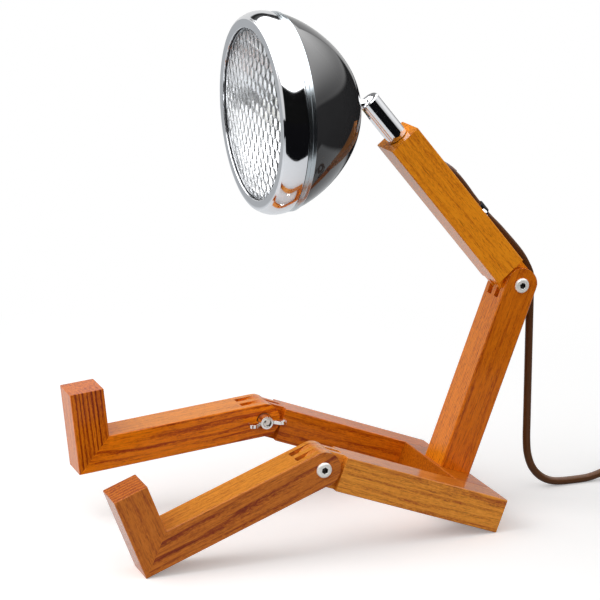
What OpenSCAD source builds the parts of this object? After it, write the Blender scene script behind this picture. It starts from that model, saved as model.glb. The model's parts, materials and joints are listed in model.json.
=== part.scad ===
// Seated figure desk lamp: laminated hardwood bars with bolted finger joints,
// a swivelling chrome neck, and a headlamp that tilts on a ball stud.
// Millimetres. +Z is up and the lamp faces -X. The origin is on the table,
// midway between the toes and the elbow and midway between the legs.

/* [Wooden bars] */
// Thickness of one lamination; five of them make the width of a bar
lam_t = 5.5; // [4.8:0.1:6.5]
// Depth of every bar, seen from the side
bar_t = 24; // [21:0.5:28]
// Bevel along the long edges of the bars
edge_c = 0.6; // [0.2:0.1:1.2]

/* [Hip frame] */
// Width across both thighs
hip_w = 145; // [125:1:175]
// Depth of the block that joins the thighs
block_d = 28; // [26:0.5:36]
// From the back edge of the hip frame to the knee bolt
thigh_len = 139; // [120:1:160]
// Rise of the thighs above the table
thigh_angle = 20.5; // [15:0.5:26]

/* [Legs] */
// From the knee bolt to the front of the toe
shin_len = 136; // [120:1:150]
// From the sole to the tip of the toe
toe_h = 58; // [45:1:70]
// How far the far shin slopes down from level
far_slope = 5.5; // [0:0.5:15]

/* [Torso and arm] */
// From the hip block to the elbow bolt
torso_len = 138; // [120:1:150]
// From the elbow bolt to the end of the arm
arm_len = 140; // [130:1:160]
// Forward bend of the arm from the line of the torso
elbow_bend = 60; // [50:1:70]

/* [Finger joints] */
// Gap between neighbouring fingers
finger_gap = 0.2; // [0.1:0.05:0.4]
// Gap between a finger's round end and the bottom of its slot
slot_gap = 1.5; // [1:0.1:2.5]

/* [Joint bolts] */
// Diameter of the bolts
bolt_d = 6; // [5:0.1:6.5]
// Running clearance of a bolt in its holes, on the radius
bolt_play = 0.05; // [0.03:0.01:0.09]
// Diameter of the domed bolt head
bolt_head_d = 10.5; // [9.5:0.1:12]
// Height of the domed bolt head
bolt_head_h = 2; // [1.6:0.1:3]
// Width across the flats of the hexagon socket
hex_af = 4; // [3:0.1:4.5]
// Depth of the hexagon socket
hex_depth = 2.6; // [1.5:0.1:3]
// Diameter of the plain washers
washer_d = 11; // [11:0.5:15]
// Thickness of the plain washers
washer_t = 1.2; // [1:0.1:2]
// Width over both wings of a wing nut
wing_span = 28; // [24:0.5:32]
// Thickness of a wing
wing_t = 2.4; // [1.8:0.1:3]
// Diameter of the wing nut's hub where it meets the washer
hub_d = 10.5; // [9.5:0.1:12]
// Diameter of the wing nut's hub at its outer end
hub_tip_d = 9; // [8:0.1:10]
// Height of the wing nut's hub
hub_h = 5.6; // [4.5:0.1:8]
// How far the bolt's end stands out of the wing nut
bolt_over = 0.8; // [0.2:0.1:2]

/* [Hidden fasteners] */
// Diameter of the dowels in the hip frame
dowel_d = 8; // [6:0.5:9]
// How deep a dowel goes into each piece
dowel_in = 12; // [8:0.5:16]
// Distance between the two dowels at each end of the hip block
dowel_pitch = 12; // [10:0.5:16]
// Diameter of the pins between the hip block and the torso
pin_dowel_d = 4; // [3:0.5:5]
// From the torso's side to the middle of such a pin
pin_inset = 4.5; // [4:0.5:7]
// Glue gap around dowels and inserts, on the radius
glue_gap = 0.05; // [0.02:0.01:0.1]
// Diameter of the screw head that holds the torso
torso_head_d = 10; // [9:0.5:11]
// Height of the screw head that holds the torso
torso_head_h = 5; // [4:0.5:6]
// Outer diameter of the threaded insert in the torso
insert_d = 9; // [8:0.5:10]
// Length of the threaded insert in the torso
insert_len = 14; // [10:0.5:18]

/* [Neck] */
// Diameter of the neck tube
neck_d = 15; // [14:0.5:17]
// Length of the neck tube
neck_len = 34.3; // [30:0.1:42]
// Gap between the neck tube and the end of the arm
neck_gap = 0.2; // [0.1:0.05:0.4]
// Diameter of the spigot that turns in the bush
spigot_d = 10; // [9:0.5:10.5]
// Outer diameter of the bush in the end of the arm
bush_d = 14; // [13:0.5:15]
// Length of the bush in the end of the arm
bush_len = 14; // [10:0.5:16]
// Diameter of the ball
ball_d = 10.4; // [9.5:0.1:11]
// Running clearance of the ball and the spigot, on the radius
neck_play = 0.05; // [0.03:0.01:0.09]
// From the ball's centre to the open end of the neck
ball_drop = 3.5; // [3:0.1:4]
// Diameter of the neck's mouth, which keeps the ball in
mouth_d = 8.8; // [8.2:0.1:9.2]
// Diameter of the ball's stem
stem_d = 6.5; // [5.5:0.1:6.8]
// Width of the slot that lets the stem tilt
slot_w = 7; // [6.9:0.1:7.6]
// Length of that slot from the open end
slot_len = 11.5; // [9:0.1:14]

/* [Lamp head] */
// Forward bend of the head from the line of the neck
head_bend = 52; // [40:1:70]
// From the ball's centre to the back of the bowl
stem_len = 11.5; // [11:0.1:14]
// Depth of the bowl
bowl_len = 52; // [46:0.5:60]
// Wall of the bowl
bowl_wall = 1.2; // [0.8:0.1:1.8]
// Width of the bright trim ring between the bowl and the rim
trim_w = 6; // [4:0.5:8]
// Thickness of that trim ring
trim_t = 0.9; // [0.6:0.1:1.2]
// Width of the rim from its front to its back edge
rim_w = 16; // [13:0.5:22]
// From the rim's front to its largest diameter
rim_crest = 10.5; // [7:0.5:12]
// Width of the rim's flat face around the lens
bezel_w = 6.4; // [4:0.1:8]
// How far the rim swells out beyond its front face
rim_swell = 4; // [2:0.1:6]
// How far the rim draws in again towards its back edge
rim_tuck = 0.5; // [0:0.1:1.5]
// Step from the rim's back edge down to the bowl
bowl_step = 1.5; // [1.1:0.1:3]
// Wall of the rim
rim_wall = 1; // [0.6:0.1:1.2]
// Diameter of the lens that shows
lens_d = 114; // [104:1:130]
// Thickness of the lens
lens_t = 3.2; // [2.5:0.1:4]
// How far the lens's middle bulges
lens_bulge = 3; // [1:0.5:6]
// Distance between neighbouring prisms on the lens's inner face
prism_pitch = 8; // [6:0.1:10]
// Height of those prisms
prism_h = 0.6; // [0.3:0.1:1]
// Groove between neighbouring prisms
prism_gap = 0.8; // [0.4:0.1:1.2]
// How far the lens is turned in the rim
lens_turn = -8; // [-30:1:30]

/* [Cord] */
// Diameter of the cord
cord_d = 5.6; // [5.2:0.1:6.2]
// Length of the in-line switch
switch_len = 60; // [55:1:70]
// Width of the in-line switch
switch_w = 26; // [22:1:28]
// Height of the in-line switch
switch_h = 18; // [16:0.5:20]
// Length of the rocker
rocker_len = 20; // [14:0.5:24]
// Width of the rocker
rocker_w = 11; // [8:0.5:14]
// Wall of the switch
switch_wall = 1.8; // [1.4:0.1:2.4]
// Width of the plug
plug_w = 35; // [33:0.5:38]
// Thickness of the plug
plug_t = 13.6; // [12:0.2:15]
// Length of the plug's body
plug_len = 36; // [30:0.5:40]
// Distance between the plug's pins
pin_pitch = 18.6; // [17:0.1:19.4]
// Diameter of the plug's pins
pin_d = 4; // [3.6:0.1:4.4]
// Length of the plug's pins
pin_len = 19; // [17:0.5:20]

/* [Hidden] */
$fn = 64;

wood = [0.70, 0.36, 0.14];
wood_dark = [0.55, 0.26, 0.11];
chrome = [0.82, 0.83, 0.85];
steel = [0.72, 0.72, 0.70];
brass = [0.78, 0.62, 0.30];
black = [0.05, 0.05, 0.06];
cord_brown = [0.42, 0.24, 0.16];
cut = 1;                                 // overshoot of every cutting tool

// Wooden bars
bar_w = 5 * lam_t;
shoulder = bar_t / 2 + slot_gap;         // from a joint bolt to the slot bottoms
leg_y = (hip_w - bar_w) / 2;

// Joint centres, measured from the hip frame's back bottom edge
knee_x = -thigh_len * cos(thigh_angle) + bar_t / 2 * sin(thigh_angle);
knee_z = thigh_len * sin(thigh_angle) + bar_t / 2 * cos(thigh_angle);
elbow_up = bar_t + torso_len;
elbow_x = -block_d / 2 * cos(thigh_angle) + elbow_up * sin(thigh_angle);
elbow_z = block_d / 2 * sin(thigh_angle) + elbow_up * cos(thigh_angle);
heel_reach = sqrt(shin_len ^ 2 + (bar_t / 2) ^ 2);
near_slope = asin(knee_z / heel_reach) - atan(bar_t / 2 / shin_len);
arm_lean = thigh_angle - elbow_bend;
toe_up = toe_h - bar_t / 2;
toe_x = knee_x - shin_len * cos(near_slope) - toe_up * sin(near_slope);
middle_x = (toe_x + elbow_x + bar_t / 2) / 2;

// Bolts, washers and wing nuts
bolt_r = bolt_d / 2;
bolt_hole_r = bolt_r + bolt_play;
bolt_len = bar_w + washer_t + hub_h + bolt_over;

// Neck, in the arm's own frame: z runs up the arm from the elbow bolt
neck_z = arm_len + neck_gap;
neck_top = neck_z + neck_len;
ball_z = neck_top - ball_drop;
ball_r = ball_d / 2;
seat_r = ball_r + neck_play;             // the socket's radius around the ball
spigot_r = spigot_d / 2;
spigot_len = bush_len + 2.2;
ring_t = 1.2;
wire_bore_r = 2.5;
lead_r = 2;
floor_z = neck_z + 8;                    // where the spring stands in the tube
cup_top = ball_z - stem_d / 2 - 0.35;     // just below the level stem
cup_h = 6;
spring_r = seat_r - 1.05;
spring_wire_r = 0.6;
spring_turns = 5;

// Cord exit on the arm's back
exit_z = 101;
exit_angle = 25;
exit_hole_r = 4.6;
exit_deep = 0.75 * bar_t;                // how far the slanted hole goes in
bore_end = exit_z + 4;                   // the end bore reaches down to that hole
lead_out = 2;                            // how quickly the lead leaves the exit hole
lead_gap = 0.4;
lead_top = neck_z - spigot_len + 0.3 - lead_gap;
clip_z = 56;
clip_w = 8;
clip_t = 0.8;
clip_gap = 0.2;
clip_screw_y = -4.2;
clip_screw_r = 1.5;

// Head, in its own frame: z runs from the ball's centre towards the lens
bowl_back = stem_len;
bowl_edge = bowl_back + bowl_len;
trim_front = bowl_edge + trim_w;
rim_front = trim_front + rim_w;
rim_front_r = lens_d / 2 + bezel_w;
rim_most_r = rim_front_r + rim_swell;
rim_back_r = rim_most_r - rim_tuck;
bowl_r = rim_back_r - bowl_step;
trim_gap = 0.3;
stud_r = stem_d / 2 - 0.25;
stud_hole_r = stem_d / 2 + 0.1;
collar_r = 5.5;
collar_h = 2.5;
stud_washer_r = 6.5;
stud_washer_t = 1.2;
bracket_t = 1.2;
nut_af = 10;
nut_h = 4.5;
lens_edge_r = lens_d / 2 + 4;
lens_front = rim_front - rim_wall - 0.6;
lens_back = lens_front - lens_t;
gasket_lip = 0.5;
flange_t = 0.8;
flange_z = lens_back - gasket_lip - flange_t;
holder_r = 9.2;
holder_z = 27;
holder_h = 14;
bulb_foot_r = 6;
bulb_foot_h = 9;
bulb_in = 6;                             // how deep the bulb sits in its holder
bulb_r = 7.2;
bulb_h = 18;
reflector_hole_r = 12;
reflector_z = 33;

// Cord, switch and plug
cord_r = cord_d / 2;
cord_y = 4;
coil_at = [296, -58];
coil_mean_r = 33;
coil_half = 9;
switch_at = [268, 4];
switch_split = 9;
rocker_rest = 7;                         // the rocker's tilt on either side
rocker_z = switch_h - 3.2;
rocker_up = 4.6;                         // from the axle to the rocker's ends
dish_len = 0.7 * rocker_len;
dish_depth = 0.7;
dish_r = ((dish_len / 2) ^ 2 + dish_depth ^ 2) / (2 * dish_depth);
axle_r = 1.5;
plug_x = 242;
plug_y = -97;
relief_len = 20;

// The cord's route. On the arm: [out from the arm's middle, up the arm].
sleeve_route = [
    [8.6, 108.3], [10.3, 104.6], [12, 101], [13.5, 97.3], [14.6, 93.4], [15.3, 89.4]
];
arm_route = [
    [15.3, 88.9], [15.6, 84], [15.5, 76], [15.1, 68], [15, 60], [15, 52], [15.4, 45]
];
// From the elbow down to the table and along it: [x, y, z]
bend_route = [
    [134.3, 4, 201.2], [139.3, 4, 195.7], [144.8, 4, 189.7], [149.8, 4, 184.1],
    [154.8, 4, 178.3], [158.8, 4, 172.9], [162.3, 4, 166.9], [165.2, 4, 160.5],
    [165.7, 4, 156], [165.8, 4, 144], [165.8, 4, 130], [165.8, 4, 116]
];
drop_route = [
    [165.8, 4, 116], [165.8, 4, 100], [165.8, 4, 84], [165.8, 4, 68], [165.8, 4, 52],
    [165.9, 4, 38], [167, 4, 27], [170.5, 4, 17], [176.7, 4, 9.4], [184.9, 4, 4.7],
    [194, 4, 3], [208, 4, 2.8], [216, 4, 3.1], [224, 4, 4.7], [231, 4, 6.9],
    [237.6, 4, 7.9]
];
lead_route = [
    [298.4, 4, 7.9], [305, 4, 6.8], [313, 2.9, 5.2], [321, -0.4, 4.1], [328, -6, 3.3],
    [333, -14, 2.9], [335, -24, 2.8], [335.4, -36, 2.8], [335, -46, 2.8]
];
tail_route = [
    [292, -96.8, 8.5], [283, -97, 8.5], [272, -97, 8], [262.5, -97, 7.1]
];

// ---------------------------------------------------------------- placing

module at_hip() translate([-middle_x, 0, 0]) rotate([0, thigh_angle, 0]) children();

module at_knee(side)
    translate([knee_x - middle_x, side * leg_y, knee_z])
        rotate([0, side < 0 ? -near_slope : -far_slope, 0])
            children();

module at_elbow()
    translate([elbow_x - middle_x, 0, elbow_z]) rotate([0, arm_lean, 0]) children();

module at_ball() at_elbow() translate([0, 0, ball_z]) rotate([0, -head_bend, 0]) children();

// Turns a shape drawn along +z so that it runs along y, away from side
module across(side) rotate([side * 90, 0, 0]) children();

// ---------------------------------------------------------------- wooden bars

// A bar along +x, centred on y and z, with its long edges bevelled
module stick(len, w = bar_w, t = bar_t) {
    c = edge_c;
    rotate([90, 0, 90])
        linear_extrude(len)
            polygon([
                [-w / 2 + c, -t / 2], [w / 2 - c, -t / 2], [w / 2, -t / 2 + c],
                [w / 2, t / 2 - c], [w / 2 - c, t / 2], [-w / 2 + c, t / 2],
                [-w / 2, t / 2 - c], [-w / 2, -t / 2 + c]
            ]);
}

// A bar whose end at x = 0 is a finger joint: the laminations in slots are cut
// back to the shoulder, the others end in a round about the bolt hole
module jointed_bar(len, slots) {
    difference() {
        intersection() {
            translate([-bar_t / 2, 0, 0]) stick(len + bar_t / 2);
            union() {
                across(1) cylinder(r = bar_t / 2, h = bar_w + 2 * cut, center = true);
                translate([0, -bar_w / 2 - cut, -bar_t / 2 - cut])
                    cube([len + cut, bar_w + 2 * cut, bar_t + 2 * cut]);
            }
        }
        for (i = slots) slot(i);
        across(1) cylinder(r = bolt_hole_r, h = bar_w + 2 * cut, center = true);
    }
}

// The room for the other bar's finger at lamination i, counted from -y
module slot(i) {
    low = i == 0 ? -bar_w / 2 - cut : -bar_w / 2 + i * lam_t - finger_gap / 2;
    high = i == 4 ? bar_w / 2 + cut : -bar_w / 2 + (i + 1) * lam_t + finger_gap / 2;
    translate([-bar_t / 2 - cut, low, -bar_t / 2 - cut])
        cube([bar_t / 2 + cut + shoulder, high - low, bar_t + 2 * cut]);
}

outer_three = [1, 3];                    // slots of a bar that keeps three fingers
inner_two = [0, 2, 4];                   // slots of a bar that keeps two fingers

// The dowels lie along y, two at each end of the hip block
dowel_x = [-block_d / 2 - dowel_pitch / 2, -block_d / 2 + dowel_pitch / 2];

module hip_dowels(grow)
    for (side = [-1, 1], x = dowel_x)
        translate([x, side * (hip_w / 2 - bar_w), bar_t / 2])
            across(1) cylinder(r = dowel_d / 2 + grow, h = 2 * (dowel_in + grow), center = true);

module torso_dowels(grow)
    for (side = [-1, 1])
        translate([-block_d / 2, side * (bar_w / 2 - pin_inset), bar_t])
            cylinder(d = pin_dowel_d + 2 * grow, h = 2 * (2 / 3 * dowel_in + grow), center = true);

module rail(side)
    color(wood)
        at_hip()
            difference() {
                translate([-thigh_len, side * leg_y, bar_t / 2])
                    jointed_bar(thigh_len, inner_two);
                hip_dowels(glue_gap);
            }

module hip_block()
    color(wood)
        at_hip()
            difference() {
                translate([-block_d / 2, -(hip_w / 2 - bar_w), bar_t / 2])
                    rotate([0, 0, 90]) stick(hip_w - 2 * bar_w, block_d, bar_t);
                hip_dowels(glue_gap);
                torso_dowels(glue_gap);
                translate([-block_d / 2, 0, -cut]) {
                    cylinder(r = bolt_r + 0.3, h = bar_t + 2 * cut);
                    cylinder(r = torso_head_d / 2 + 0.5, h = torso_head_h + 1 + cut);
                }
            }

module wood_dowels()
    color("burlywood") at_hip() {
        hip_dowels(0);
        torso_dowels(0);
    }

module torso()
    color(wood_dark)
        at_hip()
            difference() {
                translate([-block_d / 2, 0, elbow_up])
                    rotate([0, 90, 0]) jointed_bar(torso_len, outer_three);
                torso_dowels(glue_gap);
                translate([-block_d / 2, 0, bar_t - cut])
                    cylinder(r = insert_d / 2 + glue_gap, h = insert_len + 1 + cut);
            }

module torso_screw()
    color(steel)
        at_hip()
            translate([-block_d / 2, 0, 1])
                difference() {
                    union() {
                        cylinder(d = torso_head_d, h = torso_head_h);
                        cylinder(r = bolt_r, h = bar_t + insert_len - 2);
                    }
                    translate([0, 0, -cut])
                        cylinder(d = 5 / cos(30), h = 3 + cut, $fn = 6);
                }

module torso_insert()
    color(brass)
        at_hip()
            translate([-block_d / 2, 0, bar_t + 0.1])
                difference() {
                    cylinder(d = insert_d, h = insert_len);
                    translate([0, 0, -cut])
                        cylinder(r = bolt_hole_r, h = insert_len + 2 * cut);
                }

// ---------------------------------------------------------------- legs

// Everything in front of the 45 degree mitre between shin and toe
module ahead_of_mitre()
    across(1)
        linear_extrude(bar_w + 2 * cut, center = true)
            polygon([
                [shin_len + cut, -bar_t / 2 - cut], [shin_len + cut, toe_up + cut],
                [shin_len - bar_t - cut, toe_up + cut], [shin_len - bar_t - cut, bar_t / 2 + cut]
            ]);

// A leg is drawn along +x with its sole down, and turned to face -x
module facing() rotate([0, 0, 180]) children();

module shin(side)
    color(wood)
        at_knee(side) facing()
            difference() {
                jointed_bar(shin_len, outer_three);
                ahead_of_mitre();
            }

module toe(side)
    color(wood)
        at_knee(side) facing()
            intersection() {
                translate([shin_len - bar_t / 2, 0, -bar_t / 2])
                    rotate([0, -90, 0]) stick(toe_h);
                ahead_of_mitre();
            }

// ---------------------------------------------------------------- joint hardware

// Low domed head below z = 0, shank up to len, hexagon socket in the head
module joint_bolt(len) {
    head_r = bolt_head_d / 2;
    difference() {
        union() {
            rotate_extrude()
                polygon([
                    [0, 0], [head_r, 0], [head_r, -0.3 * bolt_head_h],
                    for (a = [15:15:75])
                        [head_r - (head_r - 0.6 * head_r) * (1 - cos(a)),
                         -bolt_head_h * (0.3 + 0.7 * sin(a))],
                    [0.6 * head_r, -bolt_head_h], [0, -bolt_head_h]
                ]);
            cylinder(r = bolt_r, h = len);
        }
        translate([0, 0, -bolt_head_h - cut])
            cylinder(d = hex_af / cos(30), h = hex_depth + cut, $fn = 6);
    }
}

module washer()
    difference() {
        cylinder(d = washer_d, h = washer_t);
        translate([0, 0, -cut]) cylinder(r = bolt_hole_r, h = washer_t + 2 * cut);
    }

// Tapered hub with two raised wings; the hub stands on z = 0
module wing_nut() {
    tip_r = 3.4;
    reach = wing_span / 2 - tip_r;
    difference() {
        union() {
            cylinder(d1 = hub_d, d2 = hub_tip_d, h = hub_h);
            for (turn = [0, 180])
                rotate([90, 0, turn])
                    linear_extrude(wing_t, center = true) {
                        polygon([
                            [2.5, 0.8], [hub_d / 2, 0.8], [reach + 2.6, 4.2],
                            [reach - 2.2, 10.2], [4.2, hub_h - 0.4], [2.5, hub_h - 0.4]
                        ]);
                        translate([reach, 7]) circle(r = tip_r);
                    }
        }
        translate([0, 0, -cut]) cylinder(r = bolt_hole_r, h = hub_h + 2 * cut);
    }
}

// Bolt head on the side of y that side names, nut on the other one
module bolt_through(side)
    color(chrome) translate([0, side * bar_w / 2, 0]) across(side) joint_bolt(bolt_len);

module washer_of(side)
    color(chrome) translate([0, -side * bar_w / 2, 0]) across(side) washer();

module nut_of(side, turn)
    color(chrome)
        translate([0, -side * (bar_w / 2 + washer_t), 0])
            rotate([0, turn, 0]) across(side) wing_nut();

// How far each wing nut is turned, the way it happened to end up when tightened
nut_turn_near = 8;
nut_turn_far = 4;
nut_turn_elbow = 90;

// ---------------------------------------------------------------- arm

module upper_arm()
    color(wood)
        at_elbow()
            difference() {
                rotate([0, -90, 0]) jointed_bar(arm_len, inner_two);
                translate([0, 0, bore_end])
                    cylinder(r = bush_d / 2 + glue_gap, h = arm_len - bore_end + cut);
                translate([bar_t / 2, cord_y, exit_z])
                    rotate([0, -exit_angle, 0])
                        cylinder(r = exit_hole_r, h = 2 * exit_deep, center = true);
                translate([bar_t / 2, clip_screw_y, clip_z])
                    rotate([0, -90, 0])
                        translate([0, 0, -cut]) cylinder(r = clip_screw_r + 0.05, h = 11 + cut);
            }

module neck_bush()
    color(brass)
        at_elbow()
            translate([0, 0, arm_len - bush_len])
                difference() {
                    cylinder(d = bush_d, h = bush_len);
                    translate([0, 0, -cut])
                        cylinder(r = spigot_r + neck_play, h = bush_len + 2 * cut);
                }

// Saddle over the cord with one foot, which the screw holds to the arm's back
module cord_clip()
    color(steel)
        at_elbow()
            translate([bar_t / 2, cord_y, clip_z - clip_w / 2])
                difference() {
                    union() {
                        translate([cord_r + clip_gap, 0, 0])
                            cylinder(r = cord_r + clip_gap + clip_t, h = clip_w);
                        translate([0, -cord_r - clip_gap - clip_t, 0])
                            cube([cord_r + clip_gap, 2 * (cord_r + clip_gap + clip_t), clip_w]);
                        translate([0, clip_screw_y - cord_y - 4, 0])
                            cube([clip_t, 4 - clip_screw_y + cord_y, clip_w]);
                    }
                    translate([cord_r + clip_gap, 0, -cut])
                        cylinder(r = cord_r + clip_gap, h = clip_w + 2 * cut);
                    translate([-2 * cut - cord_r, -cord_r - clip_gap, -cut])
                        cube([2 * cord_r + clip_gap + 2 * cut, 2 * (cord_r + clip_gap), clip_w + 2 * cut]);
                    translate([-bar_t, -bar_w, -cut]) cube([bar_t, 2 * bar_w, clip_w + 2 * cut]);
                    translate([-cut, clip_screw_y - cord_y, clip_w / 2])
                        rotate([0, 90, 0]) cylinder(r = clip_screw_r + 0.2, h = clip_t + 2 * cut);
                }

module clip_screw()
    color(chrome)
        at_elbow()
            translate([bar_t / 2 + clip_t, clip_screw_y, clip_z])
                rotate([0, 90, 0])
                    difference() {
                        union() {
                            rotate_extrude()
                                polygon([[0, 0], [3.2, 0], [3.2, 0.9], [2.6, 1.9], [1.4, 2.4], [0, 2.4]]);
                            translate([0, 0, -11]) cylinder(r = clip_screw_r, h = 11.5);
                        }
                        for (turn = [0, 90])
                            rotate([0, 0, turn]) translate([-1.8, -0.4, 1.2]) cube([3.6, 0.8, 2]);
                    }

// ---------------------------------------------------------------- neck

module neck_tube()
    color(chrome)
        at_elbow()
            difference() {
                union() {
                    translate([0, 0, neck_z])
                        rotate_extrude()
                            polygon([
                                [0, 0], [neck_d / 2 - 0.5, 0], [neck_d / 2, 0.5],
                                [neck_d / 2, neck_len - 0.6], [neck_d / 2 - 0.6, neck_len],
                                [0, neck_len]
                            ]);
                    translate([0, 0, neck_z - spigot_len]) cylinder(r = spigot_r, h = spigot_len + cut);
                }
                translate([0, 0, neck_z - spigot_len - cut])
                    cylinder(r = wire_bore_r, h = spigot_len + neck_len);
                translate([0, 0, floor_z]) cylinder(r = seat_r, h = ball_z - floor_z);
                translate([0, 0, ball_z]) sphere(r = seat_r);
                translate([0, 0, ball_z]) cylinder(d = mouth_d, h = ball_drop + cut);
                translate([0, 0, neck_top - slot_len + slot_w / 2]) {
                    rotate([0, -90, 0]) cylinder(d = slot_w, h = neck_d);
                    translate([-neck_d, -slot_w / 2, 0]) cube([neck_d, slot_w, slot_len]);
                }
                translate([0, 0, neck_z - spigot_len + 0.4]) spigot_groove();
            }

// Groove near the spigot's end for the ring that keeps the neck in its bush
module spigot_groove()
    difference() {
        cylinder(r = spigot_r + cut, h = ring_t + 0.2);
        translate([0, 0, -cut]) cylinder(r = spigot_r - 0.8, h = ring_t + 2 * cut);
    }

module neck_ring()
    color(steel)
        at_elbow()
            translate([0, 0, neck_z - spigot_len + 0.5])
                difference() {
                    cylinder(r = spigot_r + 1.2, h = ring_t);
                    translate([0, 0, -cut]) cylinder(r = spigot_r - 0.7, h = ring_t + 2 * cut);
                }

module ball_cup()
    color(brass)
        at_elbow()
            difference() {
                translate([0, 0, cup_top - cup_h]) cylinder(r = seat_r - 0.1, h = cup_h);
                translate([0, 0, ball_z]) sphere(r = seat_r);
                translate([0, 0, cup_top - cup_h - cut]) cylinder(r = wire_bore_r, h = cup_h);
            }

// Centre line of the spring that presses the cup against the ball
function spring_points(base, height, steps = 14) = [
    for (i = [0:spring_turns * steps])
        let (share = i / (spring_turns * steps), a = 360 * spring_turns * share)
            [spring_r * cos(a), spring_r * sin(a), base + height * share]
];

module neck_spring()
    color(steel)
        at_elbow()
            tube(
                spring_points(
                    floor_z + spring_wire_r + 0.05,
                    cup_top - cup_h - floor_z - 2 * (spring_wire_r + 0.05)
                ),
                spring_wire_r, [0, 0, 1], 6
            );

module neck_lead()
    color(black)
        at_elbow()
            translate([0, 0, lead_top + lead_gap])
                cylinder(r = lead_r, h = cup_top - lead_top - lead_gap - 4.7);

// ---------------------------------------------------------------- lamp head

// The bowl is a superellipse turned about its axis, a little blunter than a cone
blunt_r = 2.12;
blunt_z = 1.28;

function bowl_outline(r, back, front, steps = 30) = [
    for (i = [0:steps])
        let (a = 90 * i / steps)
            [r * cos(a) ^ (2 / blunt_r), front - (front - back) * sin(a) ^ (2 / blunt_z)]
];

// Height of the bowl's inner face at a distance from its axis
function bowl_floor(r) =
    bowl_edge - (bowl_edge - bowl_back - bowl_wall)
        * (1 - (r / (bowl_r - bowl_wall)) ^ blunt_r) ^ (1 / blunt_z);

bowl_neck = bowl_edge + trim_w + 5;      // the bowl's plain end inside the rim
washer_z = bowl_floor(stud_washer_r) + 0.05;
bracket_z = washer_z + stud_washer_t + 0.02;
nut_z = bracket_z + bracket_t + 0.02;
stud_end = nut_z + nut_h + 1;

module bowl()
    color(black)
        at_ball()
            difference() {
                rotate_extrude($fn = 96)
                    difference() {
                        polygon(concat(
                            [[0, bowl_neck], [bowl_r, bowl_neck]],
                            bowl_outline(bowl_r, bowl_back, bowl_edge)
                        ));
                        polygon(concat(
                            [[0, bowl_neck + cut], [bowl_r - bowl_wall, bowl_neck + cut]],
                            bowl_outline(bowl_r - bowl_wall, bowl_back + bowl_wall, bowl_edge)
                        ));
                    }
                translate([0, 0, bowl_back - cut]) cylinder(r = stud_hole_r, h = 6);
            }

module ring(inner_r, outer_r, low, high)
    rotate_extrude($fn = 96)
        translate([inner_r, low]) square([outer_r - inner_r, high - low]);

module bowl_trim()
    color(chrome)
        at_ball() ring(bowl_r + 0.05, bowl_r + 0.05 + trim_t, bowl_edge, trim_front - trim_gap);

// Radius of the rim's outer face, t behind its front edge
function rim_r(t) = t < rim_crest
    ? rim_most_r - rim_swell * ((rim_crest - t) / rim_crest) ^ 2
    : rim_most_r - rim_tuck * ((t - rim_crest) / (rim_w - rim_crest)) ^ 2;

rim_steps = 14;

module rim()
    color(chrome)
        at_ball()
            rotate_extrude($fn = 96)
                polygon([
                    [lens_d / 2, rim_front], [rim_front_r - 0.4, rim_front],
                    for (i = [0:rim_steps])
                        let (t = 0.3 + (rim_w - 0.3) * i / rim_steps) [rim_r(t), rim_front - t],
                    for (i = [rim_steps:-1:0])
                        let (t = rim_wall + (rim_w - rim_wall) * i / rim_steps)
                            [rim_r(t) - rim_wall, rim_front - t],
                    [lens_d / 2, rim_front - rim_wall]
                ]);

// Height of the lens's front face above its edge
function lens_dome(r) = lens_bulge * (1 - (r / (lens_d / 2)) ^ 2);

// Places of a honeycomb of the given pitch inside a circle of radius r
function honeycomb(pitch, r) = [
    for (row = [-ceil(r / pitch * 1.2):ceil(r / pitch * 1.2)], i = [-ceil(r / pitch):ceil(r / pitch)])
        let (p = [row * pitch * sin(60), (i + (row % 2 == 0 ? 0 : 0.5)) * pitch])
            if (norm(p) < r) p
];

module prisms()
    translate([0, 0, lens_back - prism_h])
        linear_extrude(prism_h + lens_t / 2)
            for (p = honeycomb(prism_pitch, lens_d / 2 - prism_pitch / sqrt(3) - 0.5))
                translate(p) circle(r = (prism_pitch - prism_gap) / sqrt(3), $fn = 6);

module lens()
    color([0.85, 0.88, 0.9, 0.5])
        at_ball() {
            rotate([0, 0, lens_turn]) prisms();
            rotate_extrude($fn = 96)
                polygon([
                    [0, lens_back], [lens_edge_r, lens_back], [lens_edge_r, lens_front],
                    [lens_d / 2, lens_front],
                    for (i = [1:12])
                        let (r = lens_d / 2 * (1 - i / 12)) [r, lens_front + lens_dome(r)]
                ]);
        }

// Channel of rubber around the lens's edge
module lens_gasket()
    color("dimgray")
        at_ball()
            rotate_extrude($fn = 96)
                polygon([
                    [lens_edge_r - 2.5, lens_back - gasket_lip],
                    [lens_edge_r + 1.6, lens_back - gasket_lip],
                    [lens_edge_r + 1.6, lens_front + gasket_lip],
                    [lens_edge_r - 2.5, lens_front + gasket_lip],
                    [lens_edge_r - 2.5, lens_front + 0.02],
                    [lens_edge_r + 0.05, lens_front + 0.02],
                    [lens_edge_r + 0.05, lens_back - 0.02],
                    [lens_edge_r - 2.5, lens_back - 0.02]
                ]);

// Parabola of the reflector's inner face
function reflector_r(z) = sqrt(
    reflector_hole_r ^ 2
    + ((lens_d / 2 - 1) ^ 2 - reflector_hole_r ^ 2) * (z - reflector_z) / (flange_z - reflector_z)
);

module reflector()
    color([0.9, 0.9, 0.92])
        at_ball()
            rotate_extrude($fn = 96)
                polygon([
                    for (i = [0:14])
                        let (z = reflector_z + (flange_z - reflector_z) * i / 14)
                            [reflector_r(z) + 0.8, z],
                    [lens_edge_r, flange_z], [lens_edge_r, flange_z + flange_t - 0.05],
                    [lens_d / 2 - 1, flange_z + flange_t - 0.05],
                    for (i = [14:-1:0])
                        let (z = reflector_z + (flange_z - reflector_z) * i / 14)
                            [reflector_r(z), z]
                ]);

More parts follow.
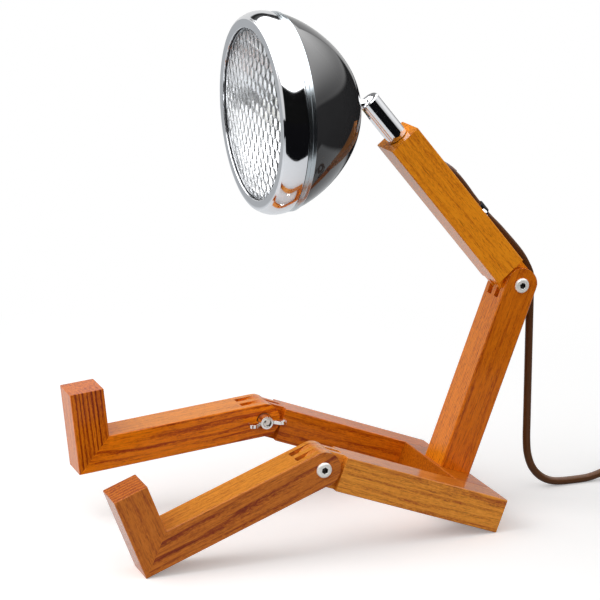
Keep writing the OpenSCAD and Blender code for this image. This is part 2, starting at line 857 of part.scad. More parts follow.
// Bent springs between the bowl's end and the reflector's flange
module lens_clips()
    color(steel)
        at_ball()
            for (turn = [45:90:315])
                rotate([0, 0, turn])
                    rotate([90, 0, 0])
                        linear_extrude(8, center = true)
                            polygon([
                                [bowl_r - bowl_wall, bowl_neck + 0.05],
                                [bowl_r - 0.2, bowl_neck + 0.05],
                                [lens_edge_r - 0.2, flange_z - 0.05],
                                [lens_edge_r - 1.6, flange_z - 0.05]
                            ]);

module ball_stud()
    color(chrome)
        at_ball()
            difference() {
                union() {
                    sphere(r = ball_r);
                    cylinder(d = stem_d, h = stem_len - collar_h / 2);
                    translate([0, 0, stem_len - collar_h]) cylinder(r = collar_r, h = collar_h);
                    cylinder(r = stud_r, h = stud_end);
                }
                translate([0, 0, -ball_r - cut]) cylinder(r = 1.8, h = stud_end + ball_r + 2 * cut);
            }

module stud_washer()
    color(steel)
        at_ball()
            translate([0, 0, washer_z])
                difference() {
                    cylinder(r = stud_washer_r, h = stud_washer_t);
                    translate([0, 0, -cut]) cylinder(r = stud_hole_r, h = stud_washer_t + 2 * cut);
                }

module stud_nut()
    color(steel)
        at_ball()
            translate([0, 0, nut_z])
                difference() {
                    cylinder(d = nut_af / cos(30), h = nut_h, $fn = 6);
                    translate([0, 0, -cut]) cylinder(r = stud_r + 0.05, h = nut_h + 2 * cut);
                }

// Two legs on a base plate, which carry the lampholder
module holder_bracket()
    color(steel)
        at_ball()
            translate([0, 0, bracket_z])
                difference() {
                    union() {
                        cylinder(r = holder_r + 0.2 + bracket_t, h = bracket_t);
                        for (side = [-1, 1])
                            translate([side * (holder_r + 0.2 + bracket_t / 2), 0, 0])
                                translate([-bracket_t / 2, -4, 0.1])
                                    cube([bracket_t, 8, holder_z + 8 - bracket_z]);
                    }
                    translate([0, 0, -cut]) cylinder(r = stud_hole_r, h = bracket_t + 2 * cut);
                }

module lampholder()
    color("ivory")
        at_ball()
            difference() {
                translate([0, 0, holder_z]) cylinder(r = holder_r, h = holder_h);
                translate([0, 0, holder_z + holder_h - bulb_in])
                    cylinder(r = bulb_foot_r + 0.2, h = bulb_in + cut);
                translate([0, 0, holder_z - cut]) cylinder(r = 1.8, h = 4 + cut);
            }

module bulb()
    color([1, 0.97, 0.85])
        at_ball()
            translate([0, 0, holder_z + holder_h - bulb_in + 0.1])
                rotate_extrude()
                    union() {
                        square([bulb_foot_r, bulb_foot_h]);
                        translate([0, bulb_foot_h]) square([bulb_r, bulb_h]);
                        translate([0, bulb_foot_h + bulb_h])
                            intersection() {
                                circle(r = bulb_r);
                                square(bulb_r + cut);
                            }
                    }

module head_leads()
    color(black)
        at_ball()
            for (side = [-1, 1])
                translate([0, side * 0.9, ball_r + 1])
                    cylinder(r = 0.8, h = holder_z + 3 - ball_r);

// ---------------------------------------------------------------- cord

function unit(v) = v / norm(v);

function heading(points, i) = unit(
    points[min(i + 1, len(points) - 1)] - points[max(i - 1, 0)]
);

// A closed tube along points. side_dir is never parallel to the route. The
// radius is r at every point, or r[i] where r is a list.
module tube(points, r, side_dir, sides = 10) {
    count = len(points);
    rings = [
        for (i = [0:count - 1])
            let (
                ahead = heading(points, i), u = unit(cross(side_dir, ahead)),
                v = cross(ahead, u), ring_r = is_list(r) ? r[i] : r
            )
                for (k = [0:sides - 1])
                    let (a = 360 * (k + 0.5) / sides)
                        points[i] + ring_r * (cos(a) * u + sin(a) * v)
    ];
    walls = [
        for (i = [0:count - 2], k = [0:sides - 1])
            let (k2 = (k + 1) % sides)
                [i * sides + k, (i + 1) * sides + k, (i + 1) * sides + k2, i * sides + k2]
    ];
    polyhedron(
        rings,
        concat(
            [[for (k = [0:sides - 1]) k]], walls,
            [[for (k = [sides - 1:-1:0]) (count - 1) * sides + k]]
        )
    );
}

// A route on the arm, given as [out, up], in the arm's own frame
function on_arm(route) = [for (p = route) [p[0], cord_y, p[1]]];

sleeve_r = [for (i = [0:5]) cord_r + 1.1 - 0.15 * i];

module cord_sleeve()
    color(black) at_elbow() tube(on_arm(sleeve_route), sleeve_r, [0, 1, 0], 12);

// From the sleeve's inner end in to the arm's middle and up to the neck's lead
function lead_points(from, top) = [
    for (share = [0, 0.2, 0.4, 0.6, 0.8, 1])
        let (out = (1 - share) ^ lead_out) [from[0] * out, cord_y * out, from[1] + (top - from[1]) * share]
];

module arm_lead()
    color(black)
        at_elbow()
            tube(lead_points(sleeve_route[0] + [-0.5, 1.2], lead_top), lead_r, [0, 1, 0], 8);

module cord_arm()
    color(cord_brown) at_elbow() tube(on_arm(arm_route), cord_r, [0, 1, 0]);

module cord_bend() color(cord_brown) tube(bend_route, cord_r, [0, 1, 0]);

module cord_drop() color(cord_brown) tube(drop_route, cord_r, [0, 1, 0]);

module cord_lead() color(cord_brown) tube(lead_route, cord_r, [0, 0, 1]);

module cord_tail() color(cord_brown) tube(tail_route, cord_r, [0, 0, 1]);

// Outer shape of the wound cord, three turns wide and two high
module cord_coil()
    color(cord_brown)
        translate([coil_at[0], coil_at[1], 0])
            rotate_extrude($fn = 96)
                translate([coil_mean_r, 0])
                    union() {
                        translate([-coil_half + cord_r, 0])
                            square([2 * (coil_half - cord_r), 4 * cord_r]);
                        translate([-coil_half, cord_r]) square([2 * coil_half, 2 * cord_r]);
                        for (x = [-coil_half + cord_r, coil_half - cord_r], y = [cord_r, 3 * cord_r])
                            translate([x, y]) circle(r = cord_r);
                    }

module coil_tie()
    color(black)
        translate([coil_at[0], coil_at[1], 0])
            rotate([0, 0, 150])
                translate([coil_mean_r, 0, 0])
                    difference() {
                        translate([-coil_half - 1.6, -2.4, 0])
                            cube([2 * coil_half + 3.2, 4.8, 4 * cord_r + 1.6]);
                        translate([-coil_half - 0.6, -2.4 - cut, -cut])
                            cube([2 * coil_half + 1.2, 4.8 + 2 * cut, 4 * cord_r + 0.6 + cut]);
                    }

// ---------------------------------------------------------------- in-line switch

module at_switch() translate([switch_at[0], switch_at[1], 0]) children();

// A box with round ends seen from above, from z = low to z = high
module pill(len, w, low, high)
    translate([0, 0, low]) {
        for (side = [-1, 1])
            translate([side * (len / 2 - w / 4), 0, 0])
                intersection() {
                    translate([-side * w / 4, 0, 0]) cylinder(r = w / 2, h = high - low);
                    translate([0, 0, (high - low) / 2])
                        cube([w / 2 + 0.02, w, high - low], center = true);
                }
        translate([-len / 2 + w / 2, -w / 2, 0]) cube([len - w, w, high - low]);
    }

module switch_base()
    color(black)
        at_switch()
            difference() {
                pill(switch_len, switch_w, 0, switch_split);
                pill(switch_len - 2 * switch_wall, switch_w - 2 * switch_wall,
                     switch_wall, switch_split + cut);
            }

screw_x = 20;
window_gap = 0.6;                        // beside the rocker
cheek_t = 2.5;

// Inside of the cover, less the screw posts and the cheeks that hold the axle
module cover_hollow()
    difference() {
        pill(switch_len - 2 * switch_wall, switch_w - 2 * switch_wall,
             switch_split - cut, switch_h - switch_wall);
        for (side = [-1, 1]) {
            translate([side * screw_x, 0, 0]) cylinder(r = 3.2, h = switch_h);
            translate([-4, side * (rocker_w / 2 + window_gap + cheek_t / 2) - cheek_t / 2,
                       rocker_z - 3.4])
                cube([8, cheek_t, switch_h]);
        }
    }

module switch_cover()
    color(black)
        at_switch()
            difference() {
                pill(switch_len, switch_w, switch_split + 0.05, switch_h);
                cover_hollow();
                translate([-rocker_len / 2 - 1, -rocker_w / 2 - window_gap, switch_split])
                    cube([rocker_len + 2, rocker_w + 2 * window_gap, switch_h]);
                translate([0, 0, rocker_z])
                    across(1) cylinder(r = axle_r + 0.05, h = rocker_w + 5, center = true);
                for (side = [-1, 1])
                    translate([side * screw_x, 0, switch_split - cut])
                        cylinder(r = 1.3, h = 5 + cut);
            }

module switch_screws()
    color(steel)
        at_switch()
            for (side = [-1, 1])
                translate([side * screw_x, 0, switch_wall + 0.05]) {
                    cylinder(r = 2.6, h = 2);
                    cylinder(r = 1.25, h = switch_split + 4 - switch_wall);
                }

// Saddle-shaped key on a cross axle, pressed down at one end
module switch_rocker()
    color("dimgray")
        at_switch()
            translate([0, 0, rocker_z])
                rotate([0, -rocker_rest, 0]) {
                    across(1)
                        linear_extrude(rocker_w, center = true)
                            difference() {
                                polygon([
                                    [-rocker_len / 2, 1.2], [-rocker_len / 2, rocker_up],
                                    [rocker_len / 2, rocker_up], [rocker_len / 2, 1.2],
                                    [3, -3], [-3, -3]
                                ]);
                                translate([0, rocker_up - dish_depth + dish_r])
                                    circle(r = dish_r, $fn = 128);
                            }
                    across(1) cylinder(r = axle_r, h = rocker_w + 4, center = true);
                }

// ---------------------------------------------------------------- plug

module at_plug() translate([plug_x, plug_y, plug_t / 2]) rotate([0, 0, 180]) children();

// Flat two-pin plug, drawn from the cord at x = 0 towards the pins at +x
module plug_body()
    color(black)
        at_plug()
            difference() {
                linear_extrude(plug_t, center = true)
                    polygon([
                        [0, -7], [4, -10], [plug_len * 0.45, -plug_w / 2 + 1],
                        [plug_len * 0.6, -plug_w / 2], [plug_len - 1.5, -plug_w / 2],
                        [plug_len, -plug_w / 2 + 1.5], [plug_len, plug_w / 2 - 1.5],
                        [plug_len - 1.5, plug_w / 2], [plug_len * 0.6, plug_w / 2],
                        [plug_len * 0.45, plug_w / 2 - 1], [4, 10], [0, 7]
                    ]);
                for (side = [-1, 1])
                    translate([plug_len - 8, side * pin_pitch / 2, 0])
                        rotate([0, 90, 0]) cylinder(d = pin_d, h = 8 + cut);
            }

module plug_pins()
    color(chrome)
        at_plug()
            for (side = [-1, 1])
                translate([plug_len - 8, side * pin_pitch / 2, 0])
                    rotate([0, 90, 0])
                        rotate_extrude()
                            polygon([
                                [0, 0], [pin_d / 2 - 0.02, 0], [pin_d / 2 - 0.02, 8],
                                [pin_d / 2 - 0.15, 8], [pin_d / 2 - 0.15, 18], [pin_d / 2, 18],
                                [pin_d / 2, 8 + pin_len - 1], [pin_d / 4, 8 + pin_len],
                                [0, 8 + pin_len]
                            ]);

module plug_relief()
    color(black)
        at_plug()
            rotate([0, -90, 0])
                rotate_extrude()
                    polygon([
                        [0, 0], [6, 0],
                        for (i = [0:4])
                            let (x = 1 + i * 3.8, r = 5.8 - 0.5 * i)
                                each [[r, x], [r, x + 2.4], [r - 0.9, x + 2.4], [r - 0.9, x + 3.8]],
                        [cord_r + 0.4, relief_len], [0, relief_len]
                    ]);

// ---------------------------------------------------------------- assembly

rail(-1);  // rail_near
rail(1);  // rail_far
hip_block();
wood_dowels();
torso();
torso_screw();
torso_insert();
at_elbow() bolt_through(-1);  // elbow_bolt
at_elbow() washer_of(-1);  // elbow_washer
at_elbow() nut_of(-1, nut_turn_elbow);  // elbow_nut
shin(-1);  // shin_near
toe(-1);  // toe_near
at_knee(-1) bolt_through(-1);  // knee_bolt_near
at_knee(-1) washer_of(-1);  // knee_washer_near
at_knee(-1) nut_of(-1, nut_turn_near);  // knee_nut_near
shin(1);  // shin_far
toe(1);  // toe_far
at_knee(1) bolt_through(1);  // knee_bolt_far
at_knee(1) washer_of(1);  // knee_washer_far
at_knee(1) nut_of(1, nut_turn_far);  // knee_nut_far
upper_arm();
neck_bush();
arm_lead();
cord_sleeve();
cord_clip();
clip_screw();
neck_tube();
neck_ring();
neck_spring();
ball_cup();
neck_lead();
ball_stud();
stud_washer();
stud_nut();
bowl();
bowl_trim();
rim();
lens();
lens_gasket();
lens_clips();
reflector();
holder_bracket();
lampholder();
bulb();
head_leads();
cord_arm();
cord_bend();
cord_drop();
cord_lead();
cord_coil();
cord_tail();
coil_tie();
switch_base();
switch_cover();
switch_screws();
switch_rocker();
plug_body();
plug_pins();
plug_relief();
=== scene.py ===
# Desk lamp in the shape of a seated figure: oiled hardwood bars with bolted
# finger joints, a chrome ball neck and a black headlamp with a pressed lens.
# Metres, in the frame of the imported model: +Z is up and the lamp faces -X.
import json
import math

import bmesh
import bpy
import numpy as np
from mathutils import Matrix, Vector
from mathutils.kdtree import KDTree

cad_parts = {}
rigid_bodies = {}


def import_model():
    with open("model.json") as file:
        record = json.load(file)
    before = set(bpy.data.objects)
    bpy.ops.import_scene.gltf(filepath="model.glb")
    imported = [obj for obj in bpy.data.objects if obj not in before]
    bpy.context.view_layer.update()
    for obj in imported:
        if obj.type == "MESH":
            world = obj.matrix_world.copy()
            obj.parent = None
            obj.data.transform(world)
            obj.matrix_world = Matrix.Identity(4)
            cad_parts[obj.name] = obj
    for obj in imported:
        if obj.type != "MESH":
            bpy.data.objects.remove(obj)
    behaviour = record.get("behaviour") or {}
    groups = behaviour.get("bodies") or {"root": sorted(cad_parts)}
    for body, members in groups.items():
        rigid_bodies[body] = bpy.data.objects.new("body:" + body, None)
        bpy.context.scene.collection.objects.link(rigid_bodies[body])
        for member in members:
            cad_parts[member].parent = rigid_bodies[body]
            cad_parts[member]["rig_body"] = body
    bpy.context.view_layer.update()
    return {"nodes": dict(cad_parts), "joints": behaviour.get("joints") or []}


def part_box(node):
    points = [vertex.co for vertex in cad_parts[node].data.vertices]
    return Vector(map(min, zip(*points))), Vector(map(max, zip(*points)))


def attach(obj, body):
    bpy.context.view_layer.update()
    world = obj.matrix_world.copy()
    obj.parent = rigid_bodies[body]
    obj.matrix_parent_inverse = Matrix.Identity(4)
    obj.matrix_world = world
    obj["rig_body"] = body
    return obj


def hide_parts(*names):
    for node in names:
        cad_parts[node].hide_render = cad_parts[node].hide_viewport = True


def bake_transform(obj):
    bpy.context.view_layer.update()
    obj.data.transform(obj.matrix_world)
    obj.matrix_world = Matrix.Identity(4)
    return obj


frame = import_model()


# ---------------------------------------------------------------- view and light
# A product table under one broad overhead panel. The camera's side of the room
# and a strip of the back wall are unlit, and polished metal mirrors them.

camera_dip, camera_turn = 14.273, -20.503
camera = bpy.data.objects.new("camera", bpy.data.cameras.new("camera"))
camera.data.sensor_width = 36
camera.data.lens = 140.635
camera.location = (-0.54762, -1.44077, 0.54844)
camera.rotation_euler = (math.radians(90 - camera_dip), 0, math.radians(camera_turn))
bpy.context.scene.collection.objects.link(camera)
bpy.context.scene.camera = camera
bpy.context.scene.view_settings.view_transform = "Standard"


class Wire:
    """A node's output. Shader and geometry outputs take part in ordinary sums:
    an operator adds the Math node it stands for."""

    def __init__(self, tree, socket=None):
        self.tree, self.socket = tree, socket

    def node(self, kind, values=(), out=0, stops=None, **settings):
        made = self.tree.nodes.new(kind)
        for name, setting in settings.items():
            setattr(made, name, setting)
        if stops:
            ramp = made.color_ramp.elements
            while len(ramp) < len(stops):
                ramp.new(1.0)
            for element, (place, colour) in zip(ramp, stops):
                element.position, element.color = place, (*colour, 1.0)
        for name, value in dict(values).items():
            if isinstance(value, Wire):
                self.tree.links.new(value.socket, made.inputs[name])
            else:
                made.inputs[name].default_value = value
        return Wire(self.tree, made.outputs[out] if made.outputs else None)

    def math(self, operation, *terms):
        return self.node("ShaderNodeMath", enumerate(terms), operation=operation)

    def __add__(self, other):
        return self.math("ADD", self, other)

    __radd__ = __add__

    def __mul__(self, other):
        return self.math("MULTIPLY", self, other)

    __rmul__ = __mul__

    def __sub__(self, other):
        return self.math("SUBTRACT", self, other)

    def __rsub__(self, other):
        return self.math("SUBTRACT", other, self)

    def __truediv__(self, other):
        return self.math("DIVIDE", self, other)

    def __pow__(self, other):
        return self.math("POWER", self, other)


def between(value, low, high):
    """A smooth step from 0 to 1, where value goes from low to high."""
    return value.node(
        "ShaderNodeMapRange", {0: value, 1: low, 2: high}, interpolation_type="SMOOTHSTEP")


WHITE = (1, 1, 1, 1)
panel_side = Vector((1, 0, 0))           # the overhead panel hangs lower on this side
dark_way = Vector((0.643, -0.766, 0))    # the middle of the unlit side
wall_way = Vector((0.139, 0.990, 0))     # the middle of the dark back wall
lit_way = Vector((-0.50, -0.80, 0.33))   # where most of the soft light comes from
# Soft edges, in a direction's height or in how far it points along a way
panel_edge = (0.49, 0.53)
low_panel_side, low_panel_edge = (0.66, 0.70), (0.13, 0.19)
unlit_side = (-0.17, -0.10)
wall_side, wall_foot, wall_top = (0.90, 0.93), (0.36, 0.42), (0.64, 0.58)
lit_room, unlit_room = 0.80, 0.004       # what metal mirrors beside the panel
glass_light, glass_limit = 1.58, 1.2     # what shines through the lens

world = bpy.data.worlds.new("studio")
world.use_nodes = True
world.node_tree.nodes.clear()
sky = Wire(world.node_tree)
direction = sky.node("ShaderNodeTexCoord", out=0)
height = sky.node("ShaderNodeSeparateXYZ", {0: direction}, out=2)
level_share = (1.0001 - height * height) ** 0.5


def along(vector):
    """How far a direction points along the vector, from -1 to 1."""
    return sky.node(
        "ShaderNodeVectorMath", {0: direction, 1: vector}, out=1, operation="DOT_PRODUCT")


panel = between(height, *panel_edge)
low_panel = between(along(panel_side) / level_share, *low_panel_side)
low_panel = low_panel * between(height, *low_panel_edge)
panel = panel.math("MAXIMUM", panel, low_panel)
unlit = between(along(dark_way) / level_share, *unlit_side)
back_wall = between(along(wall_way) / level_share, *wall_side)
back_wall = back_wall * between(height, *wall_foot) * between(height, *wall_top)
panel_light = 0.7 + between(height, 0.20, 0.75) * 3.6
mirrored = lit_room - unlit * (lit_room - unlit_room)
mirrored = (mirrored + panel * (panel_light - mirrored)) * (1 - back_wall * 0.97)
lighting = 0.38 + between(along(lit_way), -0.20, 0.90) * 0.55
seen = sky.node("ShaderNodeLightPath", out="Is Camera Ray")
glossy = sky.node("ShaderNodeLightPath", out="Is Glossy Ray")
through = sky.node("ShaderNodeLightPath", out="Is Transmission Ray")
level = (1 - glossy) * lighting + glossy * mirrored
behind_glass = glass_light + mirrored.math("MINIMUM", mirrored, glass_limit) * 0.20
level = level + through * (behind_glass - level)
level = seen + (1 - seen) * level
backdrop = sky.node("ShaderNodeBackground", {"Color": WHITE, "Strength": level})
sky.node("ShaderNodeOutputWorld", {"Surface": backdrop})
bpy.context.scene.world = world


def softbox(name, place, aim, size, watts):
    lamp = bpy.data.lights.new(name, "AREA")
    lamp.shape, lamp.size, lamp.energy = "SQUARE", size, watts
    thing = bpy.data.objects.new(name, lamp)
    thing.location = place
    thing.rotation_euler = (Vector(aim) - Vector(place)).to_track_quat("-Z", "Y").to_euler()
    thing.visible_glossy = False
    bpy.context.scene.collection.objects.link(thing)


softbox("key_softbox", (-1.05, 0.15, 1.2), (0, 0, 0.1), 1.2, 10)
softbox("side_softbox", (-1.6, 0.2, 0.4), (0, 0, 0.15), 0.9, 3)


# ---------------------------------------------------------------- table top
# A seamless white sweep of coated board. It is matt near the lamp, where it
# keeps the shadows, and pure white further out.

half_table = 4
matt_until, white_from = 0.30, 0.62
own_light = 0.21                         # what the sweep adds to its own diffuse light


def mix_colour(share, first, second, blend="MIX"):
    """The colour that lies share of the way from first to second."""
    return share.node(
        "ShaderNodeMix", {0: share, 6: first, 7: second}, out=2,
        data_type="RGBA", blend_type=blend)


table = bpy.data.meshes.new("table_top")
corners = [(x * half_table, y * half_table, 0) for x, y in ((-1, -1), (1, -1), (1, 1), (-1, 1))]
table.from_pydata(corners, [], [(0, 1, 2, 3)])
table_top = bpy.data.objects.new("table_top", table)
bpy.context.scene.collection.objects.link(table_top)
sweep = bpy.data.materials.new("white_sweep")
sweep.use_nodes = True
sweep.node_tree.nodes.clear()
flat = Wire(sweep.node_tree)
spot = flat.node("ShaderNodeTexCoord", out="Object")
distance = flat.node("ShaderNodeVectorMath", {0: spot}, out=1, operation="LENGTH")
place_x = flat.node("ShaderNodeSeparateXYZ", {0: spot})
place_y = flat.node("ShaderNodeSeparateXYZ", {0: spot}, out=1)
in_mirror = flat.node("ShaderNodeLightPath", out="Is Glossy Ray")
in_view = flat.node("ShaderNodeLightPath", out="Is Camera Ray")
in_glass = flat.node("ShaderNodeLightPath", out="Is Transmission Ray")
bounced = flat.node("ShaderNodeLightPath", out="Is Diffuse Ray")

# Polished metal also mirrors the dark room past the sweep's edges.
off_table = between(place_y, -0.310, -0.325)
off_table = off_table.math("MAXIMUM", off_table, between(place_x, 0.50, 0.62))
off_corner = between(place_y + place_x * 2, 1.20, 1.60)
off_table = off_table.math("MAXIMUM", off_table, off_corner)
far_back = between(place_y, 0.78, 0.90) * between(place_x, -0.26, -0.33)

matt_tone = mix_colour(in_mirror, (0.98, 0.98, 0.98, 1), (0.90, 0.92, 0.94, 1))
matt_tone = mix_colour(bounced, matt_tone, (0.38, 0.38, 0.38, 1))
matt = flat.node("ShaderNodeBsdfDiffuse", {"Color": matt_tone})
lift = flat.node("ShaderNodeEmission", {"Color": WHITE, "Strength": in_view * own_light})
matt = flat.node("ShaderNodeAddShader", {0: matt, 1: lift})
glow_tint = mix_colour(in_mirror, WHITE, (0.94, 0.97, 1.0, 1))
glow_level = own_light + (in_view + in_glass) * (1 - own_light)
glow_level = glow_level + in_mirror * (0.56 - far_back * 0.27)
glow = flat.node("ShaderNodeEmission", {"Color": glow_tint, "Strength": glow_level})
whiteness = between(distance, matt_until, white_from)
surface = flat.node("ShaderNodeMixShader", {0: whiteness, 1: matt, 2: glow})
shade = flat.node("ShaderNodeEmission", {"Color": (0.004, 0.004, 0.005, 1), "Strength": 1.0})
surface = flat.node("ShaderNodeMixShader", {0: in_mirror * off_table, 1: surface, 2: shade})
flat.node("ShaderNodeOutputMaterial", {"Surface": surface})
table.materials.append(sweep)


# ---------------------------------------------------------------- wooden bars
# The figure's hip frame, torso, arm, shins and toes: square bars glued up from
# five laminations of a dark-grained hardwood, whose ends interleave as finger
# joints. Their long edges are sanded round, and they are oiled to a satin sheen.

MM = 0.001
joint = {j["name"]: j for j in frame["joints"]}
elbow = Vector(joint["elbow"]["pos_m"])
near_knee = Vector(joint["knee_near"]["pos_m"])
far_knee = Vector(joint["knee_far"]["pos_m"])
arm_up = Vector(joint["neck_swivel"]["axis"])
hip_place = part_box("hip_block")[0]
near_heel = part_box("shin_near")[0]

bar_t = 24 * MM
edge_round = 0.45
weld_within, touch_within = 0.004 * MM, 0.05 * MM
flat_within = math.radians(0.6)
right_angle = math.pi / 2
hip_pitch = math.radians(20.5)
arm_pitch = math.atan2(arm_up.x, arm_up.z)
near_pitch = -math.atan2(near_knee.z - bar_t / 2 - near_heel.z, near_knee.x - near_heel.x)
far_pitch = -math.radians(5.5)

TAN = (0.84, 0.305, 0.032)
HONEY = (0.96, 0.310, 0.010)
GOLD = (0.85, 0.205, 0.003)
AMBER = (0.70, 0.165, 0.003)
RUSSET = (0.52, 0.125, 0.003)
BROWN = (0.60, 0.165, 0.016)


def shown_piece(mesh, name):
    thing = bpy.data.objects.new(name, mesh)
    bpy.context.scene.collection.objects.link(thing)
    return thing


def apply_modifiers(thing):
    """The piece as a plain mesh, with its modifiers made real."""
    graph = bpy.context.evaluated_depsgraph_get()
    graph.update()
    real = bpy.data.meshes.new_from_object(thing.evaluated_get(graph), depsgraph=graph)
    old = thing.data
    thing.modifiers.clear()
    thing.data = real
    real.name = thing.name
    bpy.data.meshes.remove(old)
    return thing


def finished_copy(node, bevel, sharp=32, steps=2, keep_clear=None):
    """The node's solid as one welded mesh, with its edges eased by bevel mm.
    Edges that lie against the piece named keep_clear stay sharp."""
    source = frame["nodes"][node].data
    mesh = bmesh.new()
    mesh.from_mesh(source)
    bmesh.ops.remove_doubles(mesh, verts=mesh.verts, dist=weld_within)
    bmesh.ops.dissolve_limit(mesh, angle_limit=flat_within, verts=mesh.verts, edges=mesh.edges)
    beside = None
    if keep_clear:
        other = frame["nodes"][keep_clear].data.vertices
        beside = KDTree(len(other))
        for i, v in enumerate(other):
            beside.insert(v.co, i)
        beside.balance()

    def touches(edge):
        return beside and all(beside.find(v.co)[2] < touch_within for v in edge.verts)

    weight = mesh.edges.layers.float.new("bevel_weight_edge")
    for edge in mesh.edges:
        turn = edge.calc_face_angle(0)
        edge.smooth = turn < math.radians(sharp)
        if turn > math.radians(sharp) and not touches(edge):
            edge[weight] = 1.0
    for face in mesh.faces:
        face.smooth = True
    done = bpy.data.meshes.new(node + "_finished")
    mesh.to_mesh(done)
    mesh.free()
    thing = shown_piece(done, node + "_finished")
    ease = thing.modifiers.new("eased_edges", "BEVEL")
    ease.limit_method, ease.segments = "WEIGHT", steps
    ease.width = bevel * MM
    ease.use_clamp_overlap = True
    ease.harden_normals = False
    level = thing.modifiers.new("flat_faces", "WEIGHTED_NORMAL")
    level.keep_sharp, level.weight = True, 60
    return apply_modifiers(thing)


def mark_faces(thing, name, rule):
    """Stores rule(face) on every face of the piece, for its material to read."""
    store = thing.data.attributes.new(name, "FLOAT", "FACE")
    store.data.foreach_set("value", [float(rule(face)) for face in thing.data.polygons])


def put_on(thing, material, node):
    """The piece takes the node's place, on the node's own body."""
    thing.data.materials.clear()
    thing.data.materials.append(material)
    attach(thing, frame["nodes"][node]["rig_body"])
    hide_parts(node)
    return thing


def new_finish(name):
    """A new material's Object coordinates, and the call that closes it with one
    shader, whose sockets are given by name."""
    material = bpy.data.materials.new(name)
    material.use_nodes = True
    material.node_tree.nodes.clear()
    place = Wire(material.node_tree).node("ShaderNodeTexCoord", out="Object")

    def close(**sockets):
        names = {key.replace("_", " ").title(): value for key, value in sockets.items()}
        names = {key.replace("Ior", "IOR"): value for key, value in names.items()}
        shader = place.node("ShaderNodeBsdfPrincipled", names)
        place.node("ShaderNodeOutputMaterial", {"Surface": shader})
        return material

    return place, close


def noise(coordinates, scale, detail, rough=0.5):
    return coordinates.node(
        "ShaderNodeTexNoise",
        {"Vector": coordinates, "Scale": scale, "Detail": detail, "Roughness": rough})


def bumps(height_wire, distance, strength):
    return height_wire.node(
        "ShaderNodeBump", {"Height": height_wire, "Distance": distance, "Strength": strength})


def hardwood(name, origin, pitch, seed, tone, lines, spacing, crown_lit_tint=(1, 1, 1), ruled=0.0):
    """Grain along the bar's own x axis: wavering dark rings, streaks and pores
    under a satin coat of oil. Lines is the rings' strength, spacing is in m,
    the crown tint colours the two faces that are cut along the rings, partly
    for their grain and partly as painted light and shade, to how these faces
    look under the lamps, and ruled is the strength of the fine straight lines
    there."""
    place, close = new_finish(name)
    turn = Matrix.Rotation(-pitch, 3, "Y")
    shift = -(turn @ Vector(origin)) + Vector((seed * 0.37, seed * 0.113, seed * 0.071))
    bar = place.node(
        "ShaderNodeMapping", {"Vector": place, "Location": shift, "Rotation": turn.to_euler()},
        vector_type="POINT")
    flank = place.node("ShaderNodeAttribute", out="Fac", attribute_name="flank")
    sawn = place.node("ShaderNodeAttribute", out="Fac", attribute_name="sawn")

    def drawn(stretch):
        """The bar's coordinates, stretched along the grain."""
        return bar.node("ShaderNodeVectorMath", {0: bar, 1: (stretch, 1, 1)}, operation="MULTIPLY")

    def toned(red, green, blue):
        return (tone[0] * red, tone[1] * green, tone[2] * blue)

    slow, quick, fibre = drawn(0.10), drawn(0.03), drawn(0.06)
    across = slow.node("ShaderNodeSeparateXYZ", {0: slow}, out=1)
    depth = slow.node("ShaderNodeSeparateXYZ", {0: slow}, out=2)
    waver = noise(slow, 34, 2, 0.5) - 0.5
    speckle = noise(drawn(0.35), 900, 2, 0.8) - 0.5
    patches = noise(slow, 60, 3, 0.6)
    streaks = noise(quick, 420, 4, 0.7)
    pores = between(noise(fibre, 1500, 2, 0.7), 0.43, 0.31)
    flecks = noise(fibre, 800, 3, 0.75)

    ring = (depth + across * 0.12) / spacing + waver * 5.0 + noise(slow, 150, 3, 0.6) * 0.9
    ring = ring + speckle * 0.32
    year = ring.math("FRACT", ring)
    late_wood = between(year, 0.40, 0.86) - between(year, 0.90, 1.0)
    lined = late_wood * lines * between(patches, 0.34, 0.56)
    lined = lined * (0.12 + flank * 0.88 + sawn * 0.2)
    rule = across / (spacing * 0.28) + waver * 1.6 + speckle * 0.3
    rule = between(rule.math("FRACT", rule), 0.35, 0.80) * (1 - flank)
    lined = lined + rule * ruled

    dark = lined * 0.66 + between(streaks, 0.42, 0.75) * (0.10 + lines * 0.20)
    dark = dark + (flecks - 0.5) * 0.80 + speckle * (0.95 - flank * 0.30)
    dark = dark + (patches - 0.5) * 0.22 + flank * 0.05 + sawn * 0.10 + 0.14
    colour = dark.node("ShaderNodeValToRGB", {0: dark}, stops=[
        (0.0, toned(1.20, 1.30, 1.6)), (0.26, tone),
        (0.60, toned(0.52, 0.30, 0.45)), (0.95, toned(0.20, 0.08, 0.25))])
    colour = mix_colour(pores * 0.5, colour, (*toned(0.25, 0.15, 0.2), 1))
    colour = mix_colour(sawn, colour, (0.95, 0.92, 0.72, 1), "MULTIPLY")
    # Partly painted light and shade: the faces cut along the rings take the bar's crown tint, set
    # to how they look under the lamps.
    colour = mix_colour((1 - flank) * (1 - sawn), colour, (*crown_lit_tint, 1), "MULTIPLY")
    return close(
        base_color=colour, roughness=0.50 + flecks * 0.16, specular_ior_level=0.06,
        coat_weight=0.75 + (1 - flank) * 0.25, coat_roughness=0.13, coat_ior=1.27,
        normal=bumps(flecks * 0.5 - pores * 0.6 + streaks * 0.3, 0.05 * MM, 0.6))
